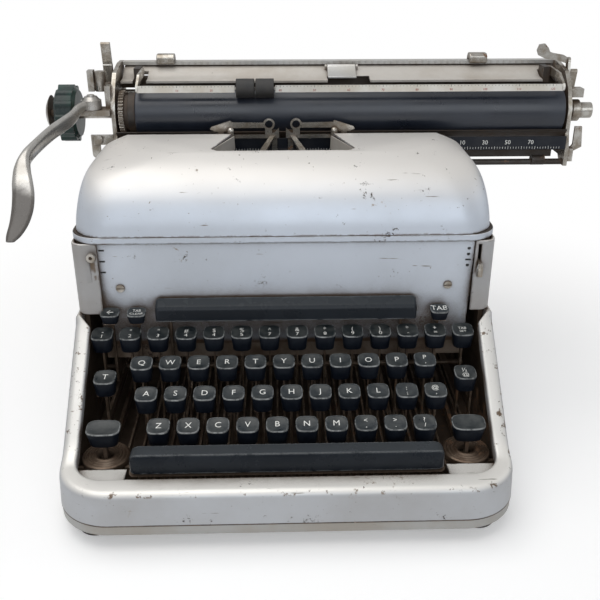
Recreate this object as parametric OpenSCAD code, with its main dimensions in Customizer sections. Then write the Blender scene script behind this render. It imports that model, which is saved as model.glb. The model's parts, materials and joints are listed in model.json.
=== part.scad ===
// Manual office typewriter, standard size, with a long carriage.
// Millimetres, X to the typist's right, Y to the back, Z up, origin on the desk under the middle.

/* [Base and body] */
// Width over the base casing
base_w = 287; // [280:1:300]
// Depth of the machine from the front apron to the back wall
base_d = 330; // [325:1:350]
// Radius of the front corners, seen from above
corner_r = 34; // [24:1:40]
// Radius of the back corners, seen from above
back_r = 16; // [12:1:22]
// Width of the rounded rail round the keyboard
rail_w = 10.5; // [9:0.5:11]
// Thickness of the rail's top flange
rail_t = 8; // [5:0.5:9]
// Thickness of the sheet casings
wall = 2; // [1.2:0.1:2.4]
// Height of the apron's top edge above the desk
apron_z = 41; // [38:0.5:43]
// Height where the side rails meet the upper body
shoulder_z = 106; // [102:1:110]
// Height of the casing's lower edge above the desk
casing_z = 18; // [16:0.5:19]
// Height of the lower frame's underside above the desk
frame_z = 11.5; // [10:0.5:13]
// Diameter of a rubber foot
foot_d = 26; // [18:1:30]
// Height where the upper body ends and the trim band starts
body_top_z = 157.6; // [156:0.2:158.4]
// Height of the trim band
trim_h = 4.8; // [3:0.2:5.4]
// Distance of the columns from the apron's front
column_y = 112; // [111:0.5:113]
// Height of the cover's highest edge
cover_top_z = 208; // [206:0.5:209]
// Thickness of the top cover
cover_t = 1.6; // [1.2:0.1:2]

/* [Keyboard] */
// Distance between neighbouring keys
pitch = 19.05; // [18.8:0.05:19.2]
// Distance between rows of keys, seen from above
row_step = 19; // [18.5:0.25:19.5]
// Rise from one row of keys to the next
row_rise = 12.5; // [12:0.25:13]
// Height of the lowest row's key tops
row_z = 58; // [56:0.5:60]
// Distance of the lowest row from the apron's front
row_y = 48; // [46:0.5:50]
// Width of a key top
key_w = 14.8; // [13.5:0.1:15.4]
// Depth of a key top
key_d = 14; // [13:0.1:15]
// Height of a key top
key_h = 12; // [10:0.5:12.5]
// Width of a key at its foot
key_foot = 11.4; // [9:0.2:12.4]
// Width of the space bar
space_w = 197; // [180:1:200]
// Width of the tabulator bar
tab_w = 184; // [170:1:186]
// Thickness of a key lever
lever_t = 1.2; // [0.8:0.1:1.6]
// Diameter of the rods that the levers turn on
pivot_d = 4; // [3:0.5:5]
// Clearance round a rod in its lever, on the radius
pivot_gap = 0.06; // [0.03:0.01:0.1]

/* [Typebars] */
// Number of typebars in the segment
bar_count = 44; // [30:2:44]
// Length of a typebar from its pivot to the type
bar_len = 78; // [76:0.5:79]
// Thickness of a typebar
bar_t = 0.8; // [0.6:0.05:0.85]
// Radius of the segment's pivot arc
segment_r = 42; // [40:0.5:43]
// Half the angle that the fan of typebars covers
fan_half = 56; // [50:1:57]
// Angle a typebar swings from rest to the platen
bar_swing = 86; // [84:0.5:88]
// Lean of the middle typebar when it strikes, from upright
bar_lean = 5; // [4:0.5:6]

/* [Carriage] */
// Radius of the platen
platen_r = 18; // [16.5:0.1:18.2]
// Length of the platen
platen_len = 324; // [310:1:326]
// Distance of the platen's axis from the apron's front
platen_y = 235; // [234.5:0.1:236]
// Height of the platen's axis
platen_z = 218; // [217.5:0.1:219]
// Distance that the carriage stands to the right of the middle
carriage_x = 52; // [40:1:60]
// Diameter of the platen shaft
shaft_d = 8; // [6:0.5:9]
// Diameter of the platen knob
knob_d = 43; // [36:0.5:44]
// Width of the platen knob
knob_w = 15.5; // [13:0.5:16]
// Diameter of the lower carriage rod
rod_d = 4.6; // [4:0.2:5]
// Diameter of the two rollers on the paper bail
bail_roller_d = 14; // [12:0.5:14.5]
// Thickness of the carriage end plates
end_t = 3; // [2:0.5:4]

/* [Hidden] */
$fn = 48;
fit = 0.3;
half = base_w / 2;
well = half - rail_w;
body_half = half - 1.5;
cover_half = body_half - 0.8;
trim_z = body_top_z + 0.1;
cover_z = trim_z + trim_h + 0.3;
function fy(d) = d - base_d / 2;
function polar(r, a) = [r * cos(a), r * sin(a)];
function arc(cx, cy, r, a0, a1, n) = [for (i = [0 : n]) [cx, cy] + polar(r, a0 + (a1 - a0) * i / n)];
function lerp(a, b, t) = a + (b - a) * t;

// Key columns: each row is set off from the one above it by a half, a quarter and a half pitch
row0_x = -125.2;
rowq_x = row0_x + 1.5 * pitch;
rowa_x = rowq_x + 0.25 * pitch;
rowz_x = rowa_x + 0.5 * pitch;
number_keys = 14;
letter_keys = 11;
low_keys = 10;
g_index = 4;
function row_at(i) = [fy(row_y + row_step * i), row_z + row_rise * i];
fulcrum = [fy(300), 32];
lever_low = 24;
lever_h = 6;
lever_front = fy(40.4);
key_dip = 2.6;
bar_pivot = [fy(200), 64];
space_pivot = [fy(150), 44];
shift_pivot = [fy(222), 50];
space_arms = [-70.4, 72.4];
space_arm_t = 1.4;

// Plates that stand across the machine, and rods along it
module plate(x, t) {
    translate([x - t / 2, 0, 0])
        rotate([90, 0, 90])
            linear_extrude(t)
                children();
}
module rod(d, x0, x1, p) {
    translate([x0, p[0], p[1]])
        rotate([0, 90, 0])
            cylinder(d = d, h = x1 - x0);
}
module slab(x0, x1, y0, y1, z0, z1) {
    translate([x0, y0, z0])
        cube([x1 - x0, y1 - y0, z1 - z0]);
}
module link(a, b, w) {
    length = norm(b - a);
    translate(a)
        rotate(atan2(b[1] - a[1], b[0] - a[0]))
            translate([0, -0.48 * w])
                square([length, 0.96 * w]);
    translate(a)
        circle(d = w);
    translate(b)
        circle(d = w);
}

// A closed skin over a stack of rings with equal numbers of points
module loft(rings) {
    n = len(rings[0]);
    m = len(rings);
    points = [for (r = rings) each r];
    sides = [for (k = [0 : m - 2], i = [0 : n - 1]) let(a = k * n, j = (i + 1) % n)
        each [[a + i, a + n + i, a + n + j], [a + i, a + n + j, a + j]]];
    foot = [[for (i = [0 : n - 1]) i]];
    head = [[for (i = [n - 1 : -1 : 0]) (m - 1) * n + i]];
    polyhedron(points, concat(sides, foot, head));
}

// A skin over rings that close on themselves, as round a casing's edge
module hoop(rings) {
    n = len(rings[0]);
    m = len(rings);
    points = [for (r = rings) each r];
    sides = [for (k = [0 : m - 1], i = [0 : n - 1])
        let(a = k * n, b = ((k + 1) % m) * n, j = (i + 1) % n)
        each [[a + i, b + j, b + i], [a + i, a + j, b + j]]];
    polyhedron(points, sides);
}

// Seen from above: a rectangle with its own radius at the front and at the back
module plan(hw, y0, y1, rf, rb) {
    translate([-hw, y0 + rf])
        square([2 * hw, y1 - rb - y0 - rf]);
    translate([-hw + rf, y0])
        square([2 * (hw - rf), rf + 1]);
    translate([-hw + rb, y1 - rb - 1])
        square([2 * (hw - rb), rb + 1]);
    for (s = [-1, 1]) {
        translate([s * (hw - rf), y0 + rf])
            circle(rf);
        translate([s * (hw - rb), y1 - rb])
            circle(rb);
    }
}

// Base casing: apron, rails and lower walls in one sweep round the machine
rail_start = 26;
rail_blend = 20;
rail_slope = (shoulder_z - apron_z) / (column_y - rail_start - rail_blend / 2);
front_rail = 16.5;
casing_flare = 1;
edge_r = 5;
function rail_z(y) = let(d = y - fy(0) - rail_start)
    d <= 0 ? apron_z :
    d < rail_blend ? apron_z + rail_slope * d * d / (2 * rail_blend) :
    min(shoulder_z, apron_z + rail_slope * (d - rail_blend / 2));
flange_w = 4.2;
function casing_section(p, n, w, top) = let(e = min(edge_r, w - 2.1)) [for (q = concat(
    [[-casing_flare, casing_z]], arc(e, top - e, e, 180, 90, 3),
    arc(w - 2, top - 2, 2, 90, 0, 2), [[w, top - rail_t], [wall, top - rail_t], [wall, casing_z]]))
    [p[0] + n[0] * q[0], p[1] + n[1] * q[0], q[1]]];
function corner_stations(c, r, a0, w0, w1, n) = [for (i = [0 : n])
    let(a = a0 + 90 * i / n, d = [cos(a), sin(a)]) [c + r * d, -d, lerp(w0, w1, i / n)]];
function side_steps() = [rail_start + 14, rail_start + 20, 60, 85, column_y - 6, column_y, 200];
function side_w(d) = d < column_y ? rail_w : flange_w;
function stations() = concat(
    [for (i = [len(side_steps()) - 1 : -1 : 0]) [[-half, fy(side_steps()[i])], [1, 0], side_w(side_steps()[i])]],
    corner_stations([-half + corner_r, fy(corner_r)], corner_r, 180, rail_w, front_rail, 7),
    corner_stations([half - corner_r, fy(corner_r)], corner_r, 270, front_rail, rail_w, 7),
    [for (d = side_steps()) [[half, fy(d)], [-1, 0], side_w(d)]],
    corner_stations([half - back_r, fy(base_d - back_r)], back_r, 0, flange_w, flange_w, 4),
    corner_stations([-half + back_r, fy(base_d - back_r)], back_r, 90, flange_w, flange_w, 4));
ledge_x = 102;
ledge_y = fy(33.7);
module base_casing() {
    color("silver") {
        hoop([for (s = stations()) casing_section(s[0], s[1], s[2], rail_z(s[0][1]))]);
        for (s = [-1, 1])
            slab(s > 0 ? ledge_x : -well - 1, s > 0 ? well + 1 : -ledge_x, fy(front_rail - 1), ledge_y,
                apron_z - rail_t + 0.2, apron_z - rail_t + 2.2);
    }
}

foot_x = half - 22;
foot_ys = [fy(24), fy(base_d - 24)];
frame_top = casing_z - 0.1;
tray_t = 0.8;
module base_frame() {
    color("gray") difference() {
        translate([0, 0, frame_z]) {
            linear_extrude(frame_top - frame_z) difference() {
                plan(half + 0.6, fy(-0.6), fy(base_d) + 0.6, corner_r + 0.6, back_r + 0.6);
                plan(half - 14, fy(14), fy(base_d - 14), corner_r - 14, 4);
            }
            linear_extrude(tray_t) difference() {
                plan(half - 13.5, fy(13.5), fy(base_d - 13.5), corner_r - 13.5, 4.5);
                translate([-half, comb_y - 2])
                    square([2 * half, comb_t + 4]);
            }
            for (s = [-1, 1], y = foot_ys)
                translate([s * foot_x, y, 0])
                    cylinder(d = foot_d + 4, h = frame_top - frame_z);
        }
        for (s = [-1, 1], y = foot_ys)
            translate([s * foot_x, y, frame_z - 1])
                cylinder(d = 5, h = 12);
    }
}

module rubber_feet() {
    color([0.1, 0.1, 0.1]) for (s = [-1, 1], y = foot_ys)
        translate([s * foot_x, y, 0]) difference() {
            union() {
                cylinder(d1 = foot_d - 3, d2 = foot_d, h = 4);
                translate([0, 0, 4])
                    cylinder(d = foot_d, h = frame_z - 4.1);
            }
            translate([0, 0, -1])
                cylinder(d = 9, h = 4);
        }
}

// Upper body: side and back walls, and the two columns beside the panel
column_in = 127.8;
column_r = 8;
slot_w = 2;
left_slot = [-131, 130.5, 147];
right_slot = [131, 139, 155];
module rear_housing() {
    color("silver") difference() {
        translate([0, 0, shoulder_z + 0.2])
            linear_extrude(body_top_z - shoulder_z - 0.2) difference() {
                plan(body_half, fy(column_y), fy(base_d) - 1.5, column_r, back_r);
                plan(body_half - wall, fy(column_y + wall), fy(base_d) - 1.5 - wall,
                    column_r - wall, back_r - wall);
                translate([-column_in, fy(column_y) - 1])
                    square([2 * column_in, 12]);
            }
        for (s = [left_slot, right_slot])
            slab(s[0] - slot_w / 2, s[0] + slot_w / 2, fy(column_y) - 1, fy(column_y) + wall + 1,
                s[1], s[2]);
    }
}

// Front panel, leaning in towards its lower edge
panel_top = [fy(column_y + 1.4), body_top_z - 0.3];
panel_foot = [fy(column_y + 9.2), 78.4];
panel_t = 1.6;
panel_hw = column_in - 0.3;
panel_lean = atan2(panel_foot[0] - panel_top[0], panel_top[1] - panel_foot[1]);
screw_xz = [112, 124];
screw_y = lerp(panel_top[0], panel_foot[0], (panel_top[1] - screw_xz[1]) / (panel_top[1] - panel_foot[1]));
module at_screws() {
    for (s = [-1, 1])
        translate([s * screw_xz[0], screw_y, screw_xz[1]])
            rotate([90 + panel_lean, 0, 0])
                children();
}
module front_panel() {
    color("silver") difference() {
        plate(0, 2 * panel_hw) polygon([panel_top, panel_foot, panel_foot + [6, 0],
            panel_foot + [6, panel_t], panel_foot + [panel_t, panel_t], panel_top + [panel_t, 0]]);
        at_screws()
            translate([0, 0, -8])
                cylinder(d = 3.6, h = 12);
    }
}
module panel_screws() {
    color("dimgray") at_screws() difference() {
        union() {
            translate([0, 0, 0.05])
                cylinder(d = 5.6, h = 1.2);
            translate([0, 0, -5])
                cylinder(d = 3, h = 5.1);
        }
        translate([-3, -0.4, 0.7])
            cube([6, 0.8, 1]);
    }
}

module trim_band() {
    color("lightgray") translate([0, 0, trim_z])
        linear_extrude(trim_h) difference() {
            plan(body_half + 0.7, fy(column_y) - 1.2, fy(230), column_r + 12, 2);
            plan(body_half - 2.4, fy(column_y) + 1.8, fy(240), column_r + 9, 2);
            translate([-body_half - 5, fy(214)])
                square([2 * body_half + 10, 40]);
        }
}

// Inner side frames with their cross bars
frame_in = 136;
frame_out = 139;
frame_top_z = 164;
cross_y = fy(286);
module side_frames() {
    color("dimgray") {
        for (s = [-1, 1]) difference() {
            plate(s * (frame_in + frame_out) / 2, frame_out - frame_in) difference() {
                polygon([[fy(30), casing_z], [fy(30), 30], [fy(46), 30], [fy(120), 92], [fy(120), body_top_z - 0.6],
                    [fy(138), body_top_z - 0.6], [fy(138), frame_top_z], [fy(312), frame_top_z],
                    [fy(312), casing_z]]);
                translate([fy(150), 74])
                    square([62, 70]);
                translate([fy(236), 70])
                    square([40, 74]);
                translate([fy(120), 28])
                    square([90, 10]);
            }
            rod(pivot_d, -half, half, fulcrum);
            rod(pivot_d, -half, half, bar_pivot);
            rod(pivot_d, -half, half, space_pivot);
            rod(pivot_d, -half, half, shift_pivot);
        }
        difference() {
            for (s = [-1, 1])
                slab(s > 0 ? 104 : -frame_in - 0.5, s > 0 ? frame_in + 0.5 : -104, screw_y + 3, screw_y + 6, 114, 130);
            at_screws()
                translate([0, 0, -9])
                    cylinder(d = 3.6, h = 12);
        }
        slab(-frame_in, frame_in, cross_y, cross_y + 4, 118, frame_top_z);
        behind(drum_at)
            cylinder(d = 6, h = 15);
        behind(wheel_at)
            cylinder(d = 5, h = 5);
    }
}

module pivot_rods() {
    color("lightsteelblue")
        for (p = [fulcrum, bar_pivot, space_pivot, shift_pivot])
            rod(pivot_d, -frame_out - 1, frame_out + 1, p);
}

// Comb that keeps the key levers apart
comb_y = fy(41.6);
comb_t = 2.6;
comb_foot = 8.4;
comb_top = 34;
slot_gap = 0.45;
function lever_planes() = concat(
    [for (i = [0 : number_keys - 1]) row0_x + pitch * i], [for (i = [0 : letter_keys - 1]) rowq_x + pitch * i],
    [for (i = [0 : letter_keys - 1]) rowa_x + pitch * i], [for (i = [0 : low_keys - 1]) rowz_x + pitch * i],
    [half_key[0] + 4.6]);
module key_comb() {
    color("saddlebrown") difference() {
        union() {
            slab(-128, 128, comb_y, comb_y + comb_t, comb_foot, 30.7);
            slab(-100, 100, comb_y, comb_y + comb_t, 20, comb_top);
            for (s = [-1, 1])
                slab(s > 0 ? 126.8 : -frame_in + 0.1, s > 0 ? frame_in - 0.1 : -126.8, comb_y, comb_y + comb_t,
                    frame_top + 0.1, 30.7);
        }
        for (x = lever_planes())
            slab(x - lever_t / 2 - slot_gap, x + lever_t / 2 + slot_gap, comb_y - 1, comb_y + comb_t + 1,
                comb_foot + 2, comb_top + 1);
        for (x = space_arms)
            slab(x - 1.4, x + 1.4, comb_y - 1, comb_y + comb_t + 1, comb_foot + 8, comb_top + 1);
    }
}

// Ribbed dishes under the shift keys
shift_x = 118;
shift_at = [fy(50), 56];
dish_z = 31;
module corner_dishes() {
    color("saddlebrown") for (s = [-1, 1])
        translate([s * shift_x, shift_at[0], dish_z]) rotate_extrude()
            polygon([[5, 0], [15.5, 0], [15.5, 3.4], [14.2, 4.4], [13.4, 3.2], [12.2, 4.6], [11.2, 3.4],
                [10, 4.8], [9, 3.6], [7.6, 5], [6.4, 5], [5, 3.4]]);
}

// Key tops: tapered, with rounded corners, a tilted and dished top
key_tilt = 12;
module key_top(p, w = key_w, d = key_d, h = key_h, foot = key_foot) {
    drop = d / 2 * tan(key_tilt);
    translate(p) difference() {
        intersection() {
            rotate([90, 0, 0])
                linear_extrude(2 * d, center = true)
                    polygon([[-foot / 2 - (w - key_w) / 2, -h], [foot / 2 + (w - key_w) / 2, -h],
                        [w / 2, drop], [-w / 2, drop]]);
            plate(0, 2 * w)
                polygon([[-foot / 2, -h], [foot / 2, -h], [d / 2, drop], [-d / 2, -drop]]);
            if (w <= key_w)
                translate([0, 0, -h])
                    cylinder(r1 = foot * 0.64, r2 = w * 0.63, h = h + drop);
        }
        translate([0, -1, 27.4])
            sphere(r = 28);
    }
}

module row_keys(x0, n, i, skip = -1) {
    color([0.16, 0.18, 0.2]) for (k = [0 : n - 1])
        if (k != skip) key_top([x0 + pitch * k, row_at(i)[0], row_at(i)[1]]);
}

// Key levers: a stem under the key, and a bar back to the rod they turn on
stem_w = 4;
hub_d = 8;
module lever_shape(p, top) {
    difference() {
        union() {
            polygon([[lever_front, lever_low], [lever_front, lever_low + lever_h],
                [p[0] - stem_w / 2, lever_low + lever_h], [p[0] - stem_w / 2, top],
                [p[0] + stem_w / 2, top], [p[0] + stem_w / 2, lever_low + lever_h],
                [fulcrum[0], fulcrum[1] + 3], [fulcrum[0], fulcrum[1] - 3], [fy(80), lever_low]]);
            translate(fulcrum)
                circle(d = hub_d);
        }
        translate(fulcrum)
            circle(d = pivot_d + 2 * pivot_gap);
    }
}
module row_levers(x0, n, i, skip = -1) {
    color([0.45, 0.36, 0.28]) for (k = [0 : n - 1])
        if (k != skip) plate(x0 + pitch * k, lever_t)
            lever_shape(row_at(i), row_at(i)[1] - key_h);
}
module number_keys() { row_keys(row0_x, number_keys, 3); }
module number_levers() { row_levers(row0_x, number_keys, 3); }
half_key = [120.6, fy(80), 76];
module upper_letter_keys() {
    row_keys(rowq_x, letter_keys, 2);
    color([0.16, 0.18, 0.2])
        key_top(half_key);
}
module upper_letter_levers() {
    row_levers(rowq_x, letter_keys, 2);
    color([0.45, 0.36, 0.28]) plate(half_key[0] + 4.6, lever_t)
        lever_shape([half_key[1], half_key[2]], half_key[2] - key_h);
}
module middle_letter_keys() { row_keys(rowa_x, letter_keys, 1, g_index); }
module middle_letter_levers() { row_levers(rowa_x, letter_keys, 1, g_index); }
module lower_letter_keys() { row_keys(rowz_x, low_keys, 0); }
module lower_letter_levers() { row_levers(rowz_x, low_keys, 0); }
module key_g() {
    color([0.16, 0.18, 0.2])
        key_top([rowa_x + pitch * g_index, row_at(1)[0], row_at(1)[1]]);
    color([0.45, 0.36, 0.28]) plate(rowa_x + pitch * g_index, lever_t)
        lever_shape(row_at(1), row_at(1)[1] - key_h);
}

// Space bar on two arms
space_y = [fy(18), fy(31.3)];
space_z = [40, 52];
module space_bar() {
    color([0.16, 0.18, 0.2]) intersection() {
        plate(0, space_w)
            polygon(concat([[space_y[0] + 1, space_z[0]]], arc(space_y[0] + 3.5, space_z[1] - 4.5, 3, 180, 90, 4),
                [[space_y[1] - 1, space_z[1]], [space_y[1], space_z[1] - 2], [space_y[1], space_z[0]]]));
        translate([0, 0, space_z[0] - 1]) linear_extrude(20)
            plan(space_w / 2, space_y[0], space_y[1], 6, 3);
    }
    color([0.35, 0.3, 0.26]) for (x = space_arms) plate(x, space_arm_t) difference() {
        union() {
            polygon([[space_y[0] + 4, space_z[0]], [space_y[1] - 2, space_z[0]], [space_y[1] - 1, 33.5],
                [fy(134), 33.5], [space_pivot[0] - 3, space_pivot[1] + 2], [space_pivot[0] + 3, space_pivot[1] - 2],
                [fy(138), 29], [space_y[0] + 6, 29]]);
            translate(space_pivot)
                circle(d = hub_d);
        }
        translate(space_pivot)
            circle(d = pivot_d + 2 * pivot_gap);
    }
}

// Tabulator bar and the keys beside it share a rod behind the panel
tab_y = [fy(111.2), fy(117.4)];
tab_z = [99.6, 106.5, 111.5];
function bar_arm(p, top) = [[p - 1.5, top], [p + 1.5, top], [p + 1.5, 66], [bar_pivot[0], bar_pivot[1] + 2.5],
    [bar_pivot[0], bar_pivot[1] - 2.5], [p + 4, 52], [p - 1.5, 52]];
module bar_lever(x, p, top, t = 1.6) {
    color([0.35, 0.3, 0.26]) plate(x, t) difference() {
        union() {
            polygon(bar_arm(p, top));
            translate(bar_pivot)
                circle(d = hub_d);
        }
        translate(bar_pivot)
            circle(d = pivot_d + 2 * pivot_gap);
    }
}
module tab_bar() {
    color([0.16, 0.18, 0.2]) intersection() {
        plate(0.6, tab_w)
            polygon([[tab_y[0] + 0.6, tab_z[0]], [tab_y[1] - 0.5, tab_z[0]], [tab_y[1], tab_z[2] - 1],
                [tab_y[1] - 1, tab_z[2]], [tab_y[0] + 1.4, tab_z[1] + 0.6], [tab_y[0], tab_z[1] - 1]]);
        translate([0.6, 0, tab_z[0] - 1]) linear_extrude(20)
            plan(tab_w / 2, tab_y[0], tab_y[1], 3, 2);
    }
    for (s = [-1, 1])
        bar_lever(0.6 + s * 80, fy(115.8), tab_z[0]);
}
upper_at = [fy(110.6), 109];
upper_xs = [-119.6, -101.6, 106.4];
upper_key = [13, 10.6, 7.5, 9.6];
module upper_special(x) {
    color([0.16, 0.18, 0.2])
        key_top([x, upper_at[0], upper_at[1]], upper_key[0], upper_key[1], upper_key[2], upper_key[3]);
    bar_lever(x, fy(115.8), upper_at[1] - upper_key[2] + 4);
}
module backspace_key() { upper_special(upper_xs[0]); }
module tab_clear_key() { upper_special(upper_xs[1]); }
module tab_set_key() { upper_special(upper_xs[2]); }

// Shift keys on one tube, so that they move together
shift_key = [22, 14, 12, 10.5];
shift_tube_d = 9;
module shift_keys() {
    color([0.16, 0.18, 0.2]) for (s = [-1, 1]) translate([s * shift_x, shift_at[0], shift_at[1]])
        difference() {
            intersection() {
                rotate([90, 0, 0])
                    linear_extrude(30, center = true)
                        polygon([[-8.6, -shift_key[2]], [8.6, -shift_key[2]], [11, 3], [-11, 3]]);
                plate(0, 40)
                    polygon([[-5.4, -shift_key[2]], [5.4, -shift_key[2]], [7, 1.5], [-7, -1.5]]);
                translate([0, 0, -20]) linear_extrude(40)
                    plan(shift_key[0] / 2, -7, 7, 5, 5);
            }
            translate([0, 0, 58.6])
                sphere(r = 60);
        }
}
module shift_bail() {
    color([0.45, 0.36, 0.28]) difference() {
        union() {
            for (s = [-1, 1]) plate(s * shift_x, 2.4) {
                polygon([[shift_at[0] - 2.2, 20], [shift_at[0] - 2.2, shift_at[1] - shift_key[2]],
                    [shift_at[0] + 2.2, shift_at[1] - shift_key[2]], [shift_at[0] + 2.2, 26],
                    [shift_pivot[0] - 14, 30], [shift_pivot[0] - 3, shift_pivot[1] + 3],
                    [shift_pivot[0] + 3, shift_pivot[1] - 3], [shift_pivot[0] - 8, 22], [shift_at[0] + 6, 20]]);
                translate(shift_pivot)
                    circle(d = shift_tube_d);
            }
            rod(shift_tube_d, -shift_x - 4, shift_x + 4, shift_pivot);
        }
        rod(pivot_d + 2 * pivot_gap, -half, half, shift_pivot);
    }
}

// Shift lock at the left, and the special key at the right
lock_at = [fy(80), 76];
lock_x = 120.6;
module shift_lock() {
    color([0.16, 0.18, 0.2])
        key_top([-lock_x, lock_at[0], lock_at[1]], key_w, key_d, key_h, key_foot);
    color([0.45, 0.36, 0.28]) plate(-lock_x, 1.6) difference() {
        union() {
            polygon([[lock_at[0] - 2, 43.4], [lock_at[0] - 2, lock_at[1] - key_h], [lock_at[0] + 2, lock_at[1] - key_h],
                [lock_at[0] + 2, 48], [space_pivot[0], space_pivot[1] + 3], [space_pivot[0], space_pivot[1] - 3]]);
            translate(space_pivot)
                circle(d = hub_d);
        }
        translate(space_pivot)
            circle(d = pivot_d + 2 * pivot_gap);
    }
}

// Left lever in its slot with the button above it, and the right lever below its slot
module touch_control() {
    color("silver") {
        plate(left_slot[0], slot_w - 0.5)
            polygon([[fy(108.5), 142.6], [fy(108.5), 146.4], [fy(128), 146.4], [fy(128), 142.6]]);
        rotate([90, 0, 0]) translate([left_slot[0], 146.8, -fy(108.6)]) difference() {
            cylinder(d = 5.8, h = 2.4);
            translate([0, 0, 1])
                cylinder(d = 2.4, h = 3);
        }
    }
}
module ribbon_selector() {
    color("tan") {
        plate(right_slot[0], slot_w - 0.5)
            polygon([[fy(109), 140.4], [fy(109), 143], [fy(128), 143], [fy(128), 140.4]]);
        translate([right_slot[0], fy(108), 133.6]) {
            cylinder(d = 4.4, h = 6);
            translate([0, 0, 5.9])
                cylinder(d1 = 4.4, d2 = 3, h = 3.4);
        }
    }
}

// Top cover: rings from the trim band up to the top, with the notch for the typebars
cover_profile = [[cover_z, 0, 0.2], [cover_z + 10, 2, 1], [cover_z + 22, 7.6, 2.8], [cover_z + 31, 15.6, 5.4],
    [cover_z + 37, 24.6, 9.6], [cover_z + 41, 34, 16.4], [cover_top_z - 0.8, 46, 27]];
cover_back = fy(206);
cover_rise = 0.8;
cover_steps = 6;
cover_points = 2 * cover_steps + 4;
function cover_turn(k) = k <= cover_steps ? 180 + 90 * k / cover_steps
    : 270 + 90 * (k - cover_steps - 1) / cover_steps;
function cover_loop(q, t) = let(hw = cover_half - q[2] - t, y0 = fy(column_y - 1.4) + q[1] + t,
    r = min(hw - 60, 24 + q[2] * 0.9 - t), z = q[0] - t * min(1, q[1] / 34))
    [for (k = [0 : cover_points - 1]) let(side = k <= cover_steps || k == cover_points - 1 ? -1 : 1,
        y = k > 2 * cover_steps + 1 ? cover_back - t : y0 + r + r * sin(cover_turn(k)),
        x = k > 2 * cover_steps + 1 ? side * hw : side * (hw - r) + r * cos(cover_turn(k)))
        [x, y, z + (q[1] > 40 ? cover_rise * (y - y0) / 50 : 0)]];
notch = [[-46, fy(160)], [46, fy(160)], [50, fy(165)], [36, fy(209)], [-36, fy(209)], [-50, fy(165)]];
module top_cover() {
    n = cover_points;
    m = len(cover_profile);
    outer = [for (q = cover_profile) each cover_loop(q, 0)];
    inner = [for (q = cover_profile) each cover_loop(q, cover_t)];
    span = m * n;
    color("silver") difference() {
        polyhedron(concat(outer, inner), concat(
            [for (k = [0 : m - 2], i = [0 : n - 1]) let(a = k * n, j = (i + 1) % n)
                each [[a + i, a + n + i, a + n + j], [a + i, a + n + j, a + j]]],
            [[for (i = [n - 1 : -1 : 0]) (m - 1) * n + i]],
            [for (k = [0 : m - 2], i = [0 : n - 1]) let(a = span + k * n, j = (i + 1) % n)
                each [[a + i, a + n + j, a + n + i], [a + i, a + j, a + n + j]]],
            [[for (i = [0 : n - 1]) span + (m - 1) * n + i]],
            [for (i = [0 : n - 1]) let(j = (i + 1) % n)
                each [[i, j, span + j], [i, span + j, span + i]]]));
        translate([0, 0, cover_top_z - 16])
            linear_extrude(40)
                polygon(notch);
        slab(-cover_half + 2, cover_half - 2, cover_back - 6, cover_back + 4, cover_z - 1, cover_top_z - 12);
    }
}

// Typebar basket: the pivot arc, the axis through the printing point, and the angles round it
print_at = [0, fy(platen_y) - platen_r - fit, platen_z];
bar_root = print_at - bar_len * [0, sin(bar_lean), cos(bar_lean)];
axis_tilt = asin(segment_r / bar_len) - bar_lean;
rest_tilt = 90 + asin(segment_r / bar_len) - bar_swing;
arc_middle = bar_root + segment_r * [0, cos(axis_tilt), sin(axis_tilt)];
g_bar = 20;
segment_slot = bar_t + 0.35;
segment_wall = 6;
wire_d = 2;
rest_r = 92;
post_x = 128;
post_y = fy(233);
function bar_angle(i) = -90 - fan_half + 2 * fan_half * i / (bar_count - 1);
module at_segment() {
    translate(arc_middle)
        rotate([axis_tilt, 0, 0])
            children();
}
module radial(a, t) {
    rotate([0, 0, a])
        rotate([90, 0, 0])
            linear_extrude(t, center = true)
                children();
}
module segment() {
    color("dimgray") at_segment() {
        difference() {
            rotate_extrude(angle = 2 * fan_half + 24, start = 258 - fan_half)
                translate([segment_r - segment_wall, -8])
                    square([2 * segment_wall - 1, 11]);
            for (i = [0 : bar_count - 1]) rotate(bar_angle(i))
                translate([segment_r - segment_wall - 2, -segment_slot / 2, -3.8])
                    cube([2 * segment_wall + 4, segment_slot, 12]);
        }
        rotate_extrude(angle = 2 * fan_half + 20, start = 260 - fan_half)
            translate([segment_r, 0])
                circle(d = wire_d);
        rest_v = (rest_r - segment_r) * tan(rest_tilt) - 9.9;
        rotate_extrude(angle = 2 * fan_half + 14, start = 263 - fan_half)
            translate([rest_r - 2.5, rest_v - 5])
                square([5, 5]);
        for (s = [-1, 1]) radial(-90 + s * (fan_half + 6), 3)
            polygon([[segment_r - 4, -8], [segment_r + 4, -8], [rest_r + 2.5, rest_v - 5],
                [rest_r - 2.5, rest_v - 2]]);
    }
    color("dimgray") for (s = [-1, 1]) difference() {
        slab(s > 0 ? 39 : -post_x - 5, s > 0 ? post_x + 5 : -39, post_y - 4, post_y + 4, 141, 151);
        translate([s * post_x, post_y, 130])
            cylinder(d = 5 + 2 * pivot_gap, h = 30);
    }
}

// A typebar in its own plane, lying at rest, with the type at its end
slug_w = 3.6;
module typebar(i) {
    lie = rest_tilt;
    at_segment() {
        radial(bar_angle(i), bar_t)
            translate([segment_r, 0]) rotate(lie) difference() {
                union() {
                    circle(r = 3.2);
                    polygon([[0, -3.1], [20, -4.6], [bar_len - 2, -7], [bar_len - 2, -2.4], [20, -0.2], [0, 3]]);
                }
                circle(d = wire_d + 0.16);
            }
        rotate([0, 0, bar_angle(i)]) rotate([90, 0, 0])
            translate([segment_r, 0]) rotate(lie)
                translate([bar_len - 3, -5, -slug_w / 2])
                    cube([6, 5, slug_w]);
    }
}
module typebars() {
    color("gray") for (i = [0 : bar_count - 1])
        if (i != g_bar) typebar(i);
}
module typebar_g() {
    color("gray") typebar(g_bar);
}

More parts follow.
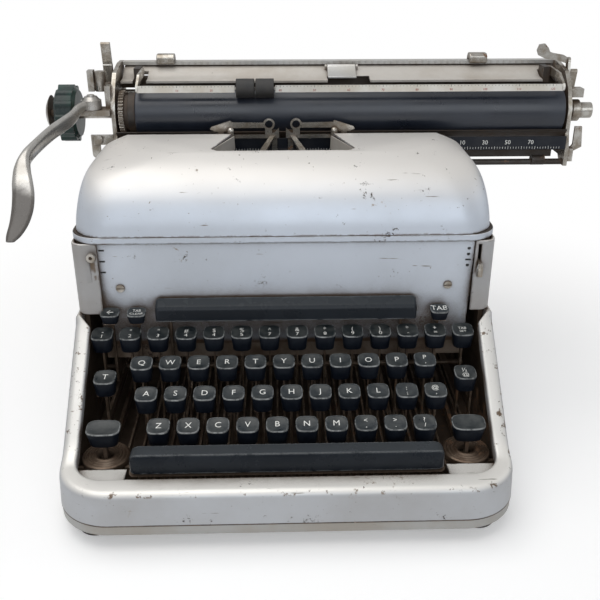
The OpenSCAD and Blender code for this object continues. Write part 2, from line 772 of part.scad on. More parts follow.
// Ribbon, its spools and the vibrator that lifts it
spool_at = [105.5, fy(160)];
spool_r = 20;
spool_z = [181, 195.4];
ribbon_h = 12;
ribbon_t = 0.4;
vibrator_y = [fy(214.2), fy(214.9)];
module spool() {
    difference() {
        union() {
            for (z = [spool_z[0], spool_z[1] - 0.8]) translate([0, 0, z])
                cylinder(r = spool_r, h = 0.8);
            translate([0, 0, spool_z[0]])
                cylinder(r = 15, h = spool_z[1] - spool_z[0]);
        }
        translate([0, 0, spool_z[0] - 1])
            cylinder(d = 6 + 2 * pivot_gap, h = 40);
    }
}
module spool_left() { color("black") translate([-spool_at[0], spool_at[1], 0]) spool(); }
module spool_right() { color("black") translate([spool_at[0], spool_at[1], 0]) spool(); }
module spool_cups() {
    color("dimgray") for (s = [-1, 1]) {
        translate([s * spool_at[0], spool_at[1], 0]) {
            difference() {
                translate([0, 0, spool_z[0] - 2.3])
                    cylinder(r = spool_r - 0.5, h = 2);
                translate([0, 0, spool_z[0] - 1])
                    cylinder(r = spool_r - 2, h = 2);
            }
            translate([0, 0, frame_top_z + 2])
                cylinder(d = 10, h = spool_z[0] - frame_top_z - 3.4);
            translate([0, 0, spool_z[0] - 3])
                cylinder(d = 6, h = spool_z[1] - spool_z[0] + 4);
        }
        slab(s > 0 ? spool_at[0] - 8 : -frame_out + 1, s > 0 ? frame_out - 1 : -spool_at[0] + 8,
            spool_at[1] - 8, spool_at[1] + 8, frame_top_z + 0.1, frame_top_z + 2.1);
    }
}
module ribbon() {
    mid = [9, vibrator_y[1] + 0.8];
    color("black") translate([0, 0, spool_z[0] + 1.5]) linear_extrude(ribbon_h) {
        for (s = [-1, 1])
            link([s * mid[0], mid[1]], [s * (spool_at[0] - 9.6), spool_at[1] - 12.3], ribbon_t);
        link(-[mid[0], -mid[1]], mid, ribbon_t);
    }
}
module ribbon_vibrator() {
    color("silver") {
        for (s = [-1, 1])
            slab(s > 0 ? 4 : -8, s > 0 ? 8 : -4, vibrator_y[0], vibrator_y[1], 182, 209);
        slab(-8, 8, vibrator_y[0], vibrator_y[1], 182, 186);
        slab(-2, 2, vibrator_y[0], vibrator_y[1], 160, 182.5);
    }
}

// Printing point: card holder, rings, wings, type guide and the struts beside it
holder_y = [fy(210.9), fy(212.7)];
ring_x = 10.1;
ring_r = 4.3;
module type_guide() {
    t = holder_y[1] - holder_y[0];
    color("silver") {
        for (s = [-1, 1]) {
            translate([0, holder_y[1], 0]) rotate([90, 0, 0]) linear_extrude(t) {
                difference() {
                    union() {
                        translate([s * ring_x, 213.8])
                            circle(ring_r);
                        translate([s * 10.4 - 2.6, 204])
                            square([5.2, 6]);
                    }
                    translate([s * ring_x, 213.8])
                        circle(ring_r - 1.4);
                }
                polygon([[s * 14, 211.2], [s * 38, 211.2], [s * 38, 215.2], [s * 14, 214.8]]);
                polygon([[s * 37.9, 209], [s * 50, 208.4], [s * 54, 210.4], [s * 53, 212], [s * 39, 216.4],
                    [s * 37.9, 216]]);
                polygon([[s * 2.6, 203.5], [s * 13, 203.5], [s * 13, 206], [s * 6, 207.6], [s * 2.6, 211]]);
                polygon([[s * 44, 166], [s * 48, 166], [s * 48, 209], [s * 44, 209]]);
                polygon([[s * 12.9, 203.5], [s * 44.1, 203.5], [s * 44.1, 206], [s * 12.9, 206]]);
            }
            slab(s > 0 ? 44 : -48, s > 0 ? 48 : -44, holder_y[1] - 0.1, fy(217), 166, 178);
            translate([s * 38.5, fy(209.2), 203.6])
                cylinder(d = 5, h = 6);
            translate([s * 38.5, fy(209.2), 209.5])
                sphere(d = 5);
            slab(s * 38.5 - 2, s * 38.5 + 2, fy(209.2), holder_y[0] + 0.1, 203.6, 206);
        }
        difference() {
            slab(-6, 6, fy(212.7), fy(217), 168, 176);
            slab(-2.3, 2.3, vibrator_y[0] - 0.2, vibrator_y[1] + 0.3, 167, 177);
        }
    }
    color("tan") for (s = [-1, 1])
        translate([s * 7.4, holder_y[0] + 0.1, 205.6])
            rotate([18, 0, s * 21])
                translate([-1.8, -52, -1.6])
                    linear_extrude(1.6)
                        polygon([[-1.6, 0], [5.2, 0], [3.6, 52], [0, 52]]);
}

// Fixed rails under the carriage
way_y = [fy(217), fy(227)];
groove_y = [fy(247), fy(255)];
rod_at = [fy(222), 181];
rail_top = 184;
module carriage_rails() {
    color("silver") {
        difference() {
            slab(-frame_out, frame_out, groove_y[0] - 3, groove_y[1] + 3, frame_top_z + 0.1, rail_top);
            slab(-half, half, groove_y[0], groove_y[1], rail_top - 6, rail_top + 1);
        }
        slab(-frame_out, frame_out, way_y[0], way_y[1], frame_top_z + 0.1, rod_at[1] - rod_d / 2 - fit);
        for (s = [-1, 1]) translate([s * post_x, post_y, 112])
            cylinder(d = 5, h = 51.9);
        for (s = [-1, 1])
            slab(s > 0 ? post_x - 4 : -frame_in, s > 0 ? frame_in : -post_x + 4, post_y - 4, post_y + 4, 108, 112);
    }
}

// Bell, mainspring drum and escapement wheel behind the cross bar
back_gear_y = cross_y + 4;
bell_at = [88, 142];
drum_at = [-92, 140];
wheel_at = [0, 146];
module behind(p) {
    translate([p[0], back_gear_y, p[1]])
        rotate([-90, 0, 0])
            children();
}
module bell() {
    color("goldenrod") behind(bell_at) rotate_extrude()
        polygon(concat([[0, 0], [3, 0], [3, 12]], arc(0, -8, 21.5, 68, 22, 6), [[20.5, 0.2], [21.8, 0.2]],
            arc(0, -8, 23.5, 22, 82, 6), [[3, 18], [0, 18]]));
}
module mainspring_drum() {
    color("dimgray") behind(drum_at) difference() {
        union() {
            translate([0, 0, 0.5])
                cylinder(d = 44, h = 1.5);
            translate([0, 0, 2])
                cylinder(d = 38, h = 10);
            translate([0, 0, 12])
                cylinder(d = 44, h = 1.5);
        }
        translate([0, 0, -1])
            cylinder(d = 6 + 2 * pivot_gap, h = 20);
    }
}
wheel_teeth = 24;
module escapement_wheel() {
    color("goldenrod") behind(wheel_at) difference() {
        union() {
            translate([0, 0, 0.6])
                cylinder(r = 11, h = 2.4);
            for (i = [0 : wheel_teeth - 1]) rotate(360 / wheel_teeth * i)
                translate([0, 0, 0.6]) linear_extrude(2.4)
                    polygon([[10.5, -1.2], [14.5, -0.3], [14.5, 0.5], [10.5, 1.4]]);
        }
        translate([0, 0, -1])
            cylinder(d = 5 + 2 * pivot_gap, h = 20);
    }
}

// Carriage: truck, end plates and top beam; all of it slides along the rails
function cx(d) = carriage_x + d;
axis_at = [fy(platen_y), platen_z];
left_in = cx(-platen_len / 2 - 15);
right_in = cx(platen_len / 2 + 3);
beam_y = [fy(262), fy(270)];
beam_z = [232, 240];
lever_pivot = [left_in - end_t - 14, fy(222)];
bail_x = [cx(-platen_len / 2 + 3), cx(platen_len / 2 - 4)];
bail_pivot = [fy(252), 245.5];
end_outline = [[fy(217), 178.8], [fy(217), 192], [fy(221), 204], [fy(221), 222], [fy(228), 236], [fy(240), 247],
    [fy(262), 251], [fy(276), 251], [fy(276), 192], [fy(260), 184.6], [fy(232), 184.6],
    [fy(227), 178.8]];
left_out = left_in - end_t;
module left_brackets() {
    slab(left_out - 18.6, left_out - 14, fy(237), fy(244), 233.6, 249);
    translate([left_out - 9.6, fy(240.4), 233.6])
        cylinder(d = 8.4, h = 14.6);
    slab(left_out - 15, left_out + 0.1, fy(238.4), fy(242.4), 236, 240);
    slab(left_out - 15, left_out + 0.1, fy(220), fy(224), 197, 204);
    translate([left_out - 11, fy(220.1), 201.6]) rotate([90, 0, 0])
        cylinder(d = 6.6, h = 2.4);
    translate([0, fy(224), 0]) rotate([90, 0, 0]) linear_extrude(2.2) {
        translate([left_out - 17, 189.4])
            square([6.4, 14.6]);
        translate([left_out - 13.8, 189.5])
            circle(d = 6.39);
    }
}
module right_brackets() {
    out = right_in + end_t;
    slab(out - 0.1, out + 9.6, fy(228), fy(237.6), 229, 235.4);
    translate([0, fy(221.8), 0]) rotate([90, 0, 0]) linear_extrude(2)
        polygon([[out + 1, 188], [out + 10.6, 193], [out + 9, 208.6], [out + 3.6, 208.6], [out + 3.6, 195], [out + 1, 191]]);
}
pan_r = platen_r + 1.5;
pan_t = 0.8;
module paper_pan() {
    plate((left_in + right_in) / 2, right_in - left_in + 0.2) intersection() {
        translate(axis_at) difference() {
            circle(pan_r + pan_t);
            circle(pan_r);
        }
        polygon(concat([axis_at], arc(axis_at[0], axis_at[1], 2 * pan_r, 215, 330, 6)));
    }
}
module carriage_frame() {
    color("silver") difference() {
        union() {
            plate(left_in - end_t / 2, end_t)
                polygon(end_outline);
            plate(right_in + end_t / 2, end_t)
                polygon(end_outline);
            slab(left_in - 0.1, right_in + 0.1, groove_y[0] + fit, groove_y[1] - fit, rail_top - 5.6, rail_top + 2);
            slab(left_in - 0.1, right_in + 0.1, groove_y[0] - 2, groove_y[1] + 3, rail_top + fit, rail_top + 8);
            slab(left_in - 0.1, right_in + 0.1, beam_y[0], beam_y[1], beam_z[0], beam_z[1]);
            rod(rod_d, left_in - 1, right_in + 1, rod_at);
            rod(8, right_in - 24, right_in - 14, rod_at + [0, 1.6]);
            slab(lever_pivot[0] - 8, left_in - end_t + 0.1, lever_pivot[1] - 6, lever_pivot[1] + 10, 219.6, 223.6);
            slab(left_in - end_t - 4, left_in - end_t + 0.1, lever_pivot[1] + 2, lever_pivot[1] + 10, 223, 240);
            slab(right_in + end_t - 0.1, right_in + end_t + 4, fy(218), fy(226), 182, 192);
            rod(4, right_in + end_t - 0.1, right_in + end_t + 4, release_at);
            for (x = bail_x)
                slab(x - 6.4, x - 1.5, beam_y[0] - 12.5, beam_y[0] + 1, beam_z[1] - 3, bail_pivot[1] + 3);
            left_brackets();
            right_brackets();
            paper_pan();
        }
        rod(shaft_d + 2 * pivot_gap, left_in - 30, right_in + 30, axis_at);
        translate([lever_pivot[0], lever_pivot[1], 210])
            cylinder(d = 5, h = 30);
        for (x = bail_x)
            rod(3 + 2 * pivot_gap, x - 10, x + 6, bail_pivot);
        rod(5 + 2 * pivot_gap, left_in - 10, right_in + 10, shift_rod);
    }
}

module platen() {
    color([0.13, 0.15, 0.2]) difference() {
        rod(2 * platen_r, cx(-platen_len / 2), cx(platen_len / 2), axis_at);
        rod(shaft_d, cx(-platen_len), cx(platen_len), axis_at);
    }
}
ratchet_teeth = 36;
hub_step = [12, 16.5];
shaft_out = 22;
module platen_shaft() {
    color("silver") {
        difference() {
            rod(shaft_d, left_in - 46.5, right_in + shaft_out, axis_at);
            rod(6 + 2 * pivot_gap, left_in - 50, left_in - 37.5, axis_at);
        }
        translate([left_in + 2.2, axis_at[0], axis_at[1]]) rotate([0, 90, 0]) {
            linear_extrude(4) {
                circle(15);
                for (i = [0 : ratchet_teeth - 1]) rotate(360 / ratchet_teeth * i)
                    polygon([[14.6, -1], [16.8, 0], [14.6, 0.8]]);
            }
            translate([0, 0, 4])
                cylinder(r = 13.5, h = 3);
            translate([0, 0, 7])
                cylinder(r = 15.5, h = 5.4);
        }
        rod(hub_step[1], right_in + end_t + 3, right_in + end_t + 9, axis_at);
        rod(hub_step[0], right_in + end_t + 8.9, right_in + shaft_out, axis_at);
    }
}
knob_x = left_in - 44.7;
knob_lobes = 12;
module platen_knob() {
    color([0.06, 0.2, 0.17]) translate([knob_x, axis_at[0], axis_at[1]]) rotate([0, 90, 0]) difference() {
        union() {
            cylinder(d1 = knob_d - 8, d2 = knob_d - 3, h = 2.5);
            translate([0, 0, 2.5])
                cylinder(d = knob_d - 3, h = knob_w - 5);
            translate([0, 0, knob_w - 2.5])
                cylinder(d1 = knob_d - 3, d2 = knob_d - 9, h = 2.5);
            for (i = [0 : knob_lobes - 1]) rotate(360 / knob_lobes * i)
                translate([knob_d / 2 - 3.6, 0, 1.8])
                    cylinder(d = 7, h = knob_w - 3.6);
        }
        translate([0, 0, -1])
            cylinder(d = shaft_d, h = knob_w + 2);
    }
}
dome_d = 27;
dome_out = 54.4;
module variable_button() {
    color("silver") {
        translate([left_in - dome_out + 4.2, axis_at[0], axis_at[1]]) rotate([0, -90, 0])
            rotate_extrude()
                polygon(concat([[0, 0]], [[dome_d / 2, 0]], arc(0, -19.4, 23.6, 55, 90, 5)));
        rod(6, left_in - 50.3, left_in - 44.7, axis_at);
    }
}

// Return lever: a flat arm from its hub over the cover's end, then a paddle hanging down
lever_path = [[-147.6, 215.5, 228, 3.2, 2.6], [-150.4, 204, 223.2, 5, 2.6], [-152.8, 195, 221.2, 5.2, 2.6],
    [-159.1, 175, 218.9, 5, 2.6], [-164.4, 150, 214.4, 4.8, 2.6], [-169.4, 130, 210.6, 5, 2.8]];
paddle_path = [[-167.4, 118, 203, 6.4, 3], [-165.4, 110, 195, 6.8, 3], [-164.4, 101, 187, 6.6, 3],
    [-164.9, 92, 179.5, 5.8, 3], [-167.4, 84, 174, 4.2, 2.6], [-169.4, 80.4, 171.4, 2, 2]];
function arm_ring(p) = [for (q = [[-1, -1], [1, -1], [1, 1], [-1, 1]])
    [p[0] + q[0] * p[4] / 2, fy(p[1]), p[2] + q[1] * p[3]]];
function paddle_ring(p) = [for (q = [[-1, -1], [1, -1], [1, 1], [-1, 1]])
    [p[0] + q[0] * p[3], fy(p[1]) - q[1] * p[4] * 0.35, p[2] + q[1] * p[4] * 0.35]];
module return_lever() {
    color("silver") {
        loft(concat([for (p = lever_path) arm_ring(p)], [for (p = paddle_path) paddle_ring(p)]));
        translate([lever_pivot[0], lever_pivot[1], 224])
            cylinder(d = 15, h = 6.4);
        translate([lever_pivot[0], lever_pivot[1], 230.3])
            cylinder(d1 = 12.6, d2 = 9, h = 2.6);
        slab(-149.2, lever_pivot[0], fy(214), lever_pivot[1], 224.8, 230.4);
        translate([lever_pivot[0], lever_pivot[1], 217])
            cylinder(d = 5 - 2 * pivot_gap, h = 7.1);
    }
}

// Paper table, leaning back, its margin rail with the scale, and the two stops
table_foot = [fy(256), 236];
table_head = [fy(272), 248];
table_t = 1.6;
table_x = [left_in + 1.5, right_in - 1.5];
support_at = [fy(264.4), 247.4];
support_pin = 1.4;
support_half = 11;
module paper_table() {
    lean = atan2(table_head[1] - table_foot[1], table_head[0] - table_foot[0]);
    color("wheat") difference() {
        plate((table_x[0] + table_x[1]) / 2, table_x[1] - table_x[0])
            polygon([[fy(246), 239.6], table_foot + [-1, 4.4], table_foot + [3, 6], table_head, table_head + [2, 0],
                table_head + [2, -1.4], [fy(261), 240.2], table_foot + [-0.6, 4.2 - table_t], [fy(246), 238]]);
        for (x = bail_x)
            slab(x - 7.4, x + 3, fy(240), fy(264), 230, 249.9);
        slab(cx(-16.5), cx(16.5), fy(240), fy(300), 230, 241);
    }
    color("wheat") {
        for (s = [-1, 1]) plate(cx(-5) + s * (support_half + 1.2), 1.6)
            link(support_at, support_at + [0.8, -2.6], 2.6);
        rod(support_pin, cx(-5) - support_half - 1, cx(-5) + support_half + 1, support_at);
    }
}
margin_z = [248.3, 251];
module margin_rail() {
    color("silver") {
        slab(left_in + 0.1, right_in - 0.1, fy(269), fy(275.9), margin_z[0] - 0.2, margin_z[1]);
        for (i = [-30 : 30])
            slab(cx(i * 5) - 0.3, cx(i * 5) + 0.3, fy(268.5), fy(269.1), margin_z[0], margin_z[1]);
    }
}
module margin_stop(x) {
    difference() {
        translate([x, fy(266.5), 246.6]) rotate([90, 0, 90]) linear_extrude(14, center = true)
            polygon([[0, 2.4], [0, 7.6], [3, 9.6], [9, 9.6], [11.2, 7], [11.2, 1]]);
        slab(x - 20, x + 20, fy(268.2), fy(276.2), margin_z[0] - 9, margin_z[1] + fit);
    }
}
stop_x = [cx(-143), cx(104)];
module margin_stop_left() { color("silver") margin_stop(stop_x[0]); }
module margin_stop_right() { color("silver") margin_stop(stop_x[1]); }
module paper_support() {
    color("gainsboro") plate(cx(-5), 2 * support_half) difference() {
        union() {
            polygon([[fy(250), 240.4], [fy(255.6), 241.6], [fy(261), 244], support_at + [0, -1.3],
                support_at + [0, 1.2], [fy(260), 245.8], [fy(255), 243.1], [fy(250), 241.9]]);
            translate(support_at)
                circle(d = 3);
        }
        translate(support_at)
            circle(d = support_pin + 2 * pivot_gap);
    }
}

// Paper bail: two arms, a rod and the scale; its two rollers
bail_rod = [fy(220), 238.6];
bail_rod_d = 3;
roller_x = [-34, -20.4, -19.6, -6];
module paper_bail() {
    color("silver") {
        for (x = bail_x) {
            plate(x, 1.8) {
                link(bail_rod, [fy(231), 244.5], 6);
                link([fy(231), 244.5], bail_pivot, 6);
            }
            rod(3, x - 6, x + 0.5, bail_pivot);
        }
        rod(bail_rod_d, bail_x[0] - 0.5, bail_x[1] + 0.5, bail_rod);
    }
    color("white") for (r = [[bail_x[0] + 0.4, roller_x[0] - 1], [roller_x[3] + 1, bail_x[1] - 0.4]])
        slab(r[0], r[1], bail_rod[0] - 2.2, bail_rod[0] - 1, bail_rod[1] - 2.7, bail_rod[1] + 2.4);
}
module bail_rollers() {
    color([0.1, 0.1, 0.11]) for (i = [0, 2]) difference() {
        rod(bail_roller_d, roller_x[i], roller_x[i + 1], bail_rod);
        rod(bail_rod_d + 2 * pivot_gap, roller_x[i] - 1, roller_x[i + 1] + 1, bail_rod);
    }
}

// Levers at the carriage's ends
release_at = [fy(244), 234];
module release_lever() {
    color("silver") {
        plate(right_in + end_t + 1.4, 2) difference() {
            union() {
                link(release_at, [fy(248), 253], 6);
                translate(release_at)
                    circle(d = 9);
            }
            translate(release_at)
                circle(d = 4 + 2 * pivot_gap);
        }
        translate([0, fy(249.4), 0]) rotate([90, 0, 0]) linear_extrude(2.8)
            polygon([[right_in + 5.4, 250.6], [right_in + 5.4, 254.6], [right_in, 257.6], [right_in - 8, 259],
                [right_in - 11, 260], [right_in - 12.6, 263], [right_in - 15.4, 266], [right_in - 19.5, 265.4],
                [right_in - 21, 261], [right_in - 19.4, 257.4], [right_in - 14, 254.8], [right_in - 5, 253.8],
                [right_in, 252.2]]);
    }
}
shift_rod = [fy(258), 229];
module carriage_releases() {
    color("silver") {
        rod(5, left_in - end_t - 10, right_in + end_t + 12, shift_rod);
        translate([left_in - end_t - 6, 0, 0]) plate(0, 7) {
            link(shift_rod, [fy(256.4), 250], 4);
            link([fy(256.4), 250], [fy(254), 266], 3);
        }
        translate([right_in + end_t + 8.6, 0, 0]) plate(0, 6)
            link(shift_rod, [fy(255), 244], 4);
    }
}
scale_y = [fy(216.4), fy(217.6)];
module front_scale() {
    color("black") slab(left_in, right_in, scale_y[0], scale_y[1], 192, 202);
}

// The origin lies under the middle of the whole width, from the dome at the left to the shaft's end
middle_x = (right_in + shaft_out + left_in - dome_out) / 2;
module centred() {
    translate([-middle_x, 0, 0])
        children();
}

centred() base_casing();
centred() base_frame();
centred() rubber_feet();
centred() rear_housing();
centred() front_panel();
centred() panel_screws();
centred() trim_band();
centred() side_frames();
centred() key_comb();
centred() pivot_rods();
centred() corner_dishes();
centred() spool_cups();
centred() type_guide();
centred() ribbon();
centred() carriage_rails();
centred() bell();
centred() top_cover();
centred() segment();
centred() typebars();
centred() typebar_g();
centred() ribbon_vibrator();
centred() spool_left();
centred() spool_right();
centred() number_keys();
centred() number_levers();
centred() upper_letter_keys();
centred() upper_letter_levers();
centred() middle_letter_keys();
centred() middle_letter_levers();
centred() lower_letter_keys();
centred() lower_letter_levers();
centred() key_g();
centred() space_bar();
centred() tab_bar();
centred() shift_keys();
centred() shift_bail();
centred() shift_lock();
centred() backspace_key();
centred() tab_clear_key();
centred() tab_set_key();
centred() touch_control();
centred() ribbon_selector();
centred() carriage_frame();
centred() platen();
centred() platen_shaft();
centred() platen_knob();
centred() variable_button();
centred() return_lever();
centred() paper_table();
centred() margin_rail();
centred() margin_stop_left();
centred() margin_stop_right();
centred() paper_support();
centred() paper_bail();
centred() bail_rollers();
centred() release_lever();
centred() carriage_releases();
centred() front_scale();
centred() mainspring_drum();
centred() escapement_wheel();
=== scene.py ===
import json
import bpy
import bmesh
from math import atan, cos, pi, radians, sin, tan
from mathutils import Matrix, Vector


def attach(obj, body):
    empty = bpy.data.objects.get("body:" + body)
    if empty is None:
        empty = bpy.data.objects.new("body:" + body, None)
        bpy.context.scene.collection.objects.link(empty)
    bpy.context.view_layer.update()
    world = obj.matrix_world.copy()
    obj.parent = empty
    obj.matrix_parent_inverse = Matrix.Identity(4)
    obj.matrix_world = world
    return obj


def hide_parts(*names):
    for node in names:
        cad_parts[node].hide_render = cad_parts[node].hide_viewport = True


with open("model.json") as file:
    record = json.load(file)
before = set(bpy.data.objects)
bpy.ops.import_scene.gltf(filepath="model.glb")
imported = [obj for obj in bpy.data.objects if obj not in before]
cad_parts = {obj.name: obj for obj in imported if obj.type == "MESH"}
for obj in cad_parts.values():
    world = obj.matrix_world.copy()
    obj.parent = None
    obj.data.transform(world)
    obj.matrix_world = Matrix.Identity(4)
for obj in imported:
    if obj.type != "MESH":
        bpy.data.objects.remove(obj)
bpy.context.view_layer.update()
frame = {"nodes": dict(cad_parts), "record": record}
print("frame loaded,", len(frame["nodes"]), "nodes")

bodyOf = {node: body for body, nodes in frame["record"]["behaviour"]["bodies"].items() for node in nodes}
depth = 330
middleX = 29.8  # the drawing's zero is the middle of the base, the frame's the middle of the whole width
scene = bpy.context.scene
drawn = []  # pieces in the drawing's coordinates, moved into the frame's at the end


def fromFront(mm):
    return mm - depth / 2


def metres(point):
    return tuple(c / 1000 for c in point)


def lerp(first, second, share):
    return first + (second - first) * share


def stepsOf(first, last, count):
    return [lerp(first, last, i / count) for i in range(count + 1)]


def newObject(name, data):
    made = bpy.data.objects.new(name, data)
    scene.collection.objects.link(made)
    return made


# camera and light
view = {"place": (-0.03377, -0.5521, 0.3484), "down": 25.0, "yaw": -1.63, "lens": 48.3, "sensor": 36, "near": 0.01}
lamps = {
    "overLamp": {"place": (-0.38, -0.1, 1.35), "aim": (-0.03, 0, 0.1), "size": (1.5, 1.1), "power": 9.7,
        "colour": (1, 0.985, 0.96)},
    "frontLamp": {"place": (0.17, -1.5, 0.9), "aim": (-0.03, 0, 0.1), "size": (1.6, 0.9), "power": 6.5,
        "colour": (0.88, 0.94, 1)},
    "sideLamp": {"place": (1.27, 0.2, 0.6), "aim": (-0.03, 0, 0.15), "size": (0.8, 0.8), "power": 0.8,
        "colour": (1, 1, 1)},
}


def makeCamera():
    data = bpy.data.cameras.new("camera")
    data.lens = view["lens"]
    data.sensor_width = view["sensor"]
    data.clip_start = view["near"]
    camera = newObject("camera", data)
    camera.location = view["place"]
    camera.rotation_euler = (radians(90 - view["down"]), 0, radians(view["yaw"]))
    scene.camera = camera
    scene.view_settings.view_transform = "Standard"


def makeLamps():
    for name, look in lamps.items():
        lamp = bpy.data.lights.new(name, "AREA")
        lamp.shape = "RECTANGLE"
        lamp.size, lamp.size_y = look["size"]
        lamp.energy = look["power"]
        lamp.color = look["colour"]
        holder = newObject(name, lamp)
        holder.location = look["place"]
        aim = Vector(look["aim"]) - Vector(look["place"])
        holder.rotation_euler = aim.to_track_quat("-Z", "Y").to_euler()


makeCamera()
makeLamps()


# node helpers: a value is a number, a colour or another node's socket
def feed(socket, value):
    if isinstance(value, bpy.types.NodeSocket):
        socket.id_data.links.new(value, socket)
    else:
        socket.default_value = value


# the kinds are shader nodes, unless they say otherwise
def addNode(tree, kind, **values):
    node = tree.nodes.new(kind if "Node" in kind else "ShaderNode" + kind)
    for key, value in values.items():
        if hasattr(node, key):
            setattr(node, key, value)
        else:
            feed(node.inputs[key], value)
    return node


# a node fed in the order of its inputs, of which one output is taken
def wire(tree, kind, *sources, take=0, **values):
    node = addNode(tree, kind, **values)
    for socket, source in zip(node.inputs, sources):
        feed(socket, source)
    return node.outputs[take]


def mathNode(tree, operation, first, second, clamp=False):
    return wire(tree, "Math", first, second, operation=operation, use_clamp=clamp)


def smoothMap(tree, value, low, high, toLow=0.0, toHigh=1.0):
    return wire(tree, "MapRange", value, low, high, toLow, toHigh, interpolation_type="SMOOTHSTEP")


def noiseOf(tree, place, scale, detail, rough=0.5):
    return wire(tree, "TexNoise", Vector=place, Scale=scale, Detail=detail, Roughness=rough)


def mixColour(tree, mask, first, second):
    node = addNode(tree, "Mix", data_type="RGBA", Factor=mask)
    for slot, value in ((6, first), (7, second)):
        feed(node.inputs[slot], (*value, 1) if isinstance(value, tuple) else value)
    return node.outputs[2]


# a mask that rises over a span above a limit, which sinks as the amount grows
def above(tree, value, amount, limit, share, span):
    low = mathNode(tree, "SUBTRACT", limit, mathNode(tree, "MULTIPLY", amount, share))
    return smoothMap(tree, value, low, mathNode(tree, "ADD", low, span))


def addSocket(tree, name, kind, way="INPUT"):
    return tree.interface.new_socket(name, in_out=way, socket_type="NodeSocket" + kind)


# a node group that makes a mask from a place and some numbers
def maskGroup(name, **numbers):
    tree = bpy.data.node_groups.new(name, "ShaderNodeTree")
    addSocket(tree, "Vector", "Vector")
    for socket, value in numbers.items():
        addSocket(tree, socket, "Float").default_value = value
    addSocket(tree, "Mask", "Float", "OUTPUT")
    return tree, tree.nodes.new("NodeGroupInput").outputs, tree.nodes.new("NodeGroupOutput").inputs["Mask"]


# worn, broken edges, and painted edge highlights where the edge colour is light: where a rounded normal leaves the
# true one
def buildEdgeWear():
    tree, given, mask = maskGroup("edgeWearAndHighlight", Radius=0.0012, Breakup=160, Amount=0.6)
    rounded = wire(tree, "Bevel", samples=4, Radius=given["Radius"])
    flat = wire(tree, "NewGeometry", take="Normal")
    agree = wire(tree, "VectorMath", rounded, flat, take="Value", operation="DOT_PRODUCT")
    edge = smoothMap(tree, mathNode(tree, "SUBTRACT", 1.0, agree), 0.01, 0.12)
    noise = noiseOf(tree, given["Vector"], given["Breakup"], 6, 0.7)
    chips = above(tree, noise, given["Amount"], limit=0.85, share=0.5, span=0.12)
    feed(mask, mathNode(tree, "MULTIPLY", edge, chips))
    return tree


# dirt that gathers where air and cloth don't reach, and painted shade: darker wherever ambient occlusion finds the
# surface shut in
def buildGrime():
    tree, given, mask = maskGroup("grimeAndShade", Distance=0.01, Scale=60, Amount=0.6)
    free = wire(tree, "AmbientOcclusion", samples=6, Distance=given["Distance"], take="AO")
    noise = noiseOf(tree, given["Vector"], given["Scale"], 5, 0.65)
    shut = mathNode(tree, "SUBTRACT", 1.0, free)
    mixed = mathNode(tree, "MULTIPLY", shut, mathNode(tree, "ADD", noise, 0.55))
    feed(mask, smoothMap(tree, mathNode(tree, "MULTIPLY", mixed, given["Amount"]), 0.1, 0.62))
    return tree


# fine scratches in two directions
def buildScratches():
    tree, given, mask = maskGroup("scratches", Scale=30, Amount=0.4)
    lines = []
    for turn, stretch in (((0.3, 0.2, 0.5), (1, 22, 9)), ((0.1, -0.4, -0.9), (14, 1, 20))):
        stretched = wire(tree, "Mapping", Vector=given["Vector"], Rotation=turn, Scale=stretch)
        noise = noiseOf(tree, stretched, given["Scale"], 3, 0.55)
        lines.append(above(tree, noise, given["Amount"], limit=0.82, share=0.22, span=0.04))
    feed(mask, mathNode(tree, "MAXIMUM", *lines))
    return tree


# spots of rust or spilt dirt, and chips
def buildSpots():
    tree, given, mask = maskGroup("spots", Scale=90, Amount=0.4)
    coarse = noiseOf(tree, given["Vector"], mathNode(tree, "MULTIPLY", given["Scale"], 0.14), 2)
    fine = noiseOf(tree, given["Vector"], given["Scale"], 8, 0.75)
    both = mathNode(tree, "MULTIPLY", coarse, fine)
    feed(mask, above(tree, both, given["Amount"], limit=0.46, share=0.2, span=0.05))
    return tree


wearAndPaintedLightGroups = {"edge": buildEdgeWear(), "grimeAndShade": buildGrime(), "scratch": buildScratches(), "spots": buildSpots()}
# the grime colour stands for dirt and for painted shade in hollows, corners and under parts
plainLook = dict(
    paintedTopLight=None, mottle=14, metal=0, rough=0.45, roughSpan=0.12, coat=0, ior=1.5,
    bump=0, bumpScale=900, brushed=None, rimWear=0,
    edge=0, edgeColour=(0.3, 0.25, 0.2), edgeRadius=0.0012,
    grimeAndShade=0, grimeAndShadeColour=(0.09, 0.06, 0.04), grimeAndShadeDistance=0.012,
    scratch=0, scratchScale=30, scratchColour=(0.2, 0.17, 0.14),
    spots=0, spotScale=90, spotColour=(0.16, 0.085, 0.045),
    chips=0, chipScale=260, chipColour=(0.045, 0.032, 0.024),
    darkBelow=None, darkBelowColour=(0.14, 0.08, 0.045))


# darker towards the bottom: a colour that comes in from the upper height down to the lower one, broken up like a
# cloud
def stainMask(tree, place, low, high):
    cloud = noiseOf(tree, place, 55, 7, 0.7)
    near = smoothMap(tree, wire(tree, "SeparateXYZ", place, take="Z"), high, low, 0.0, 0.62)
    return smoothMap(tree, mathNode(tree, "MULTIPLY", near, mathNode(tree, "ADD", cloud, 0.35)), 0.2, 0.5)


# paint rubbed off where a rounded rim turns from top to side
def rimMask(tree, place, up, amount):
    band = mathNode(tree, "MULTIPLY", smoothMap(tree, up, 0.3, 0.55), smoothMap(tree, up, 0.95, 0.8))
    limit = 0.75 - 0.4 * amount
    worn = smoothMap(tree, noiseOf(tree, place, 130, 9, 0.72), limit, limit + 0.03)
    return mathNode(tree, "MULTIPLY", band, worn)


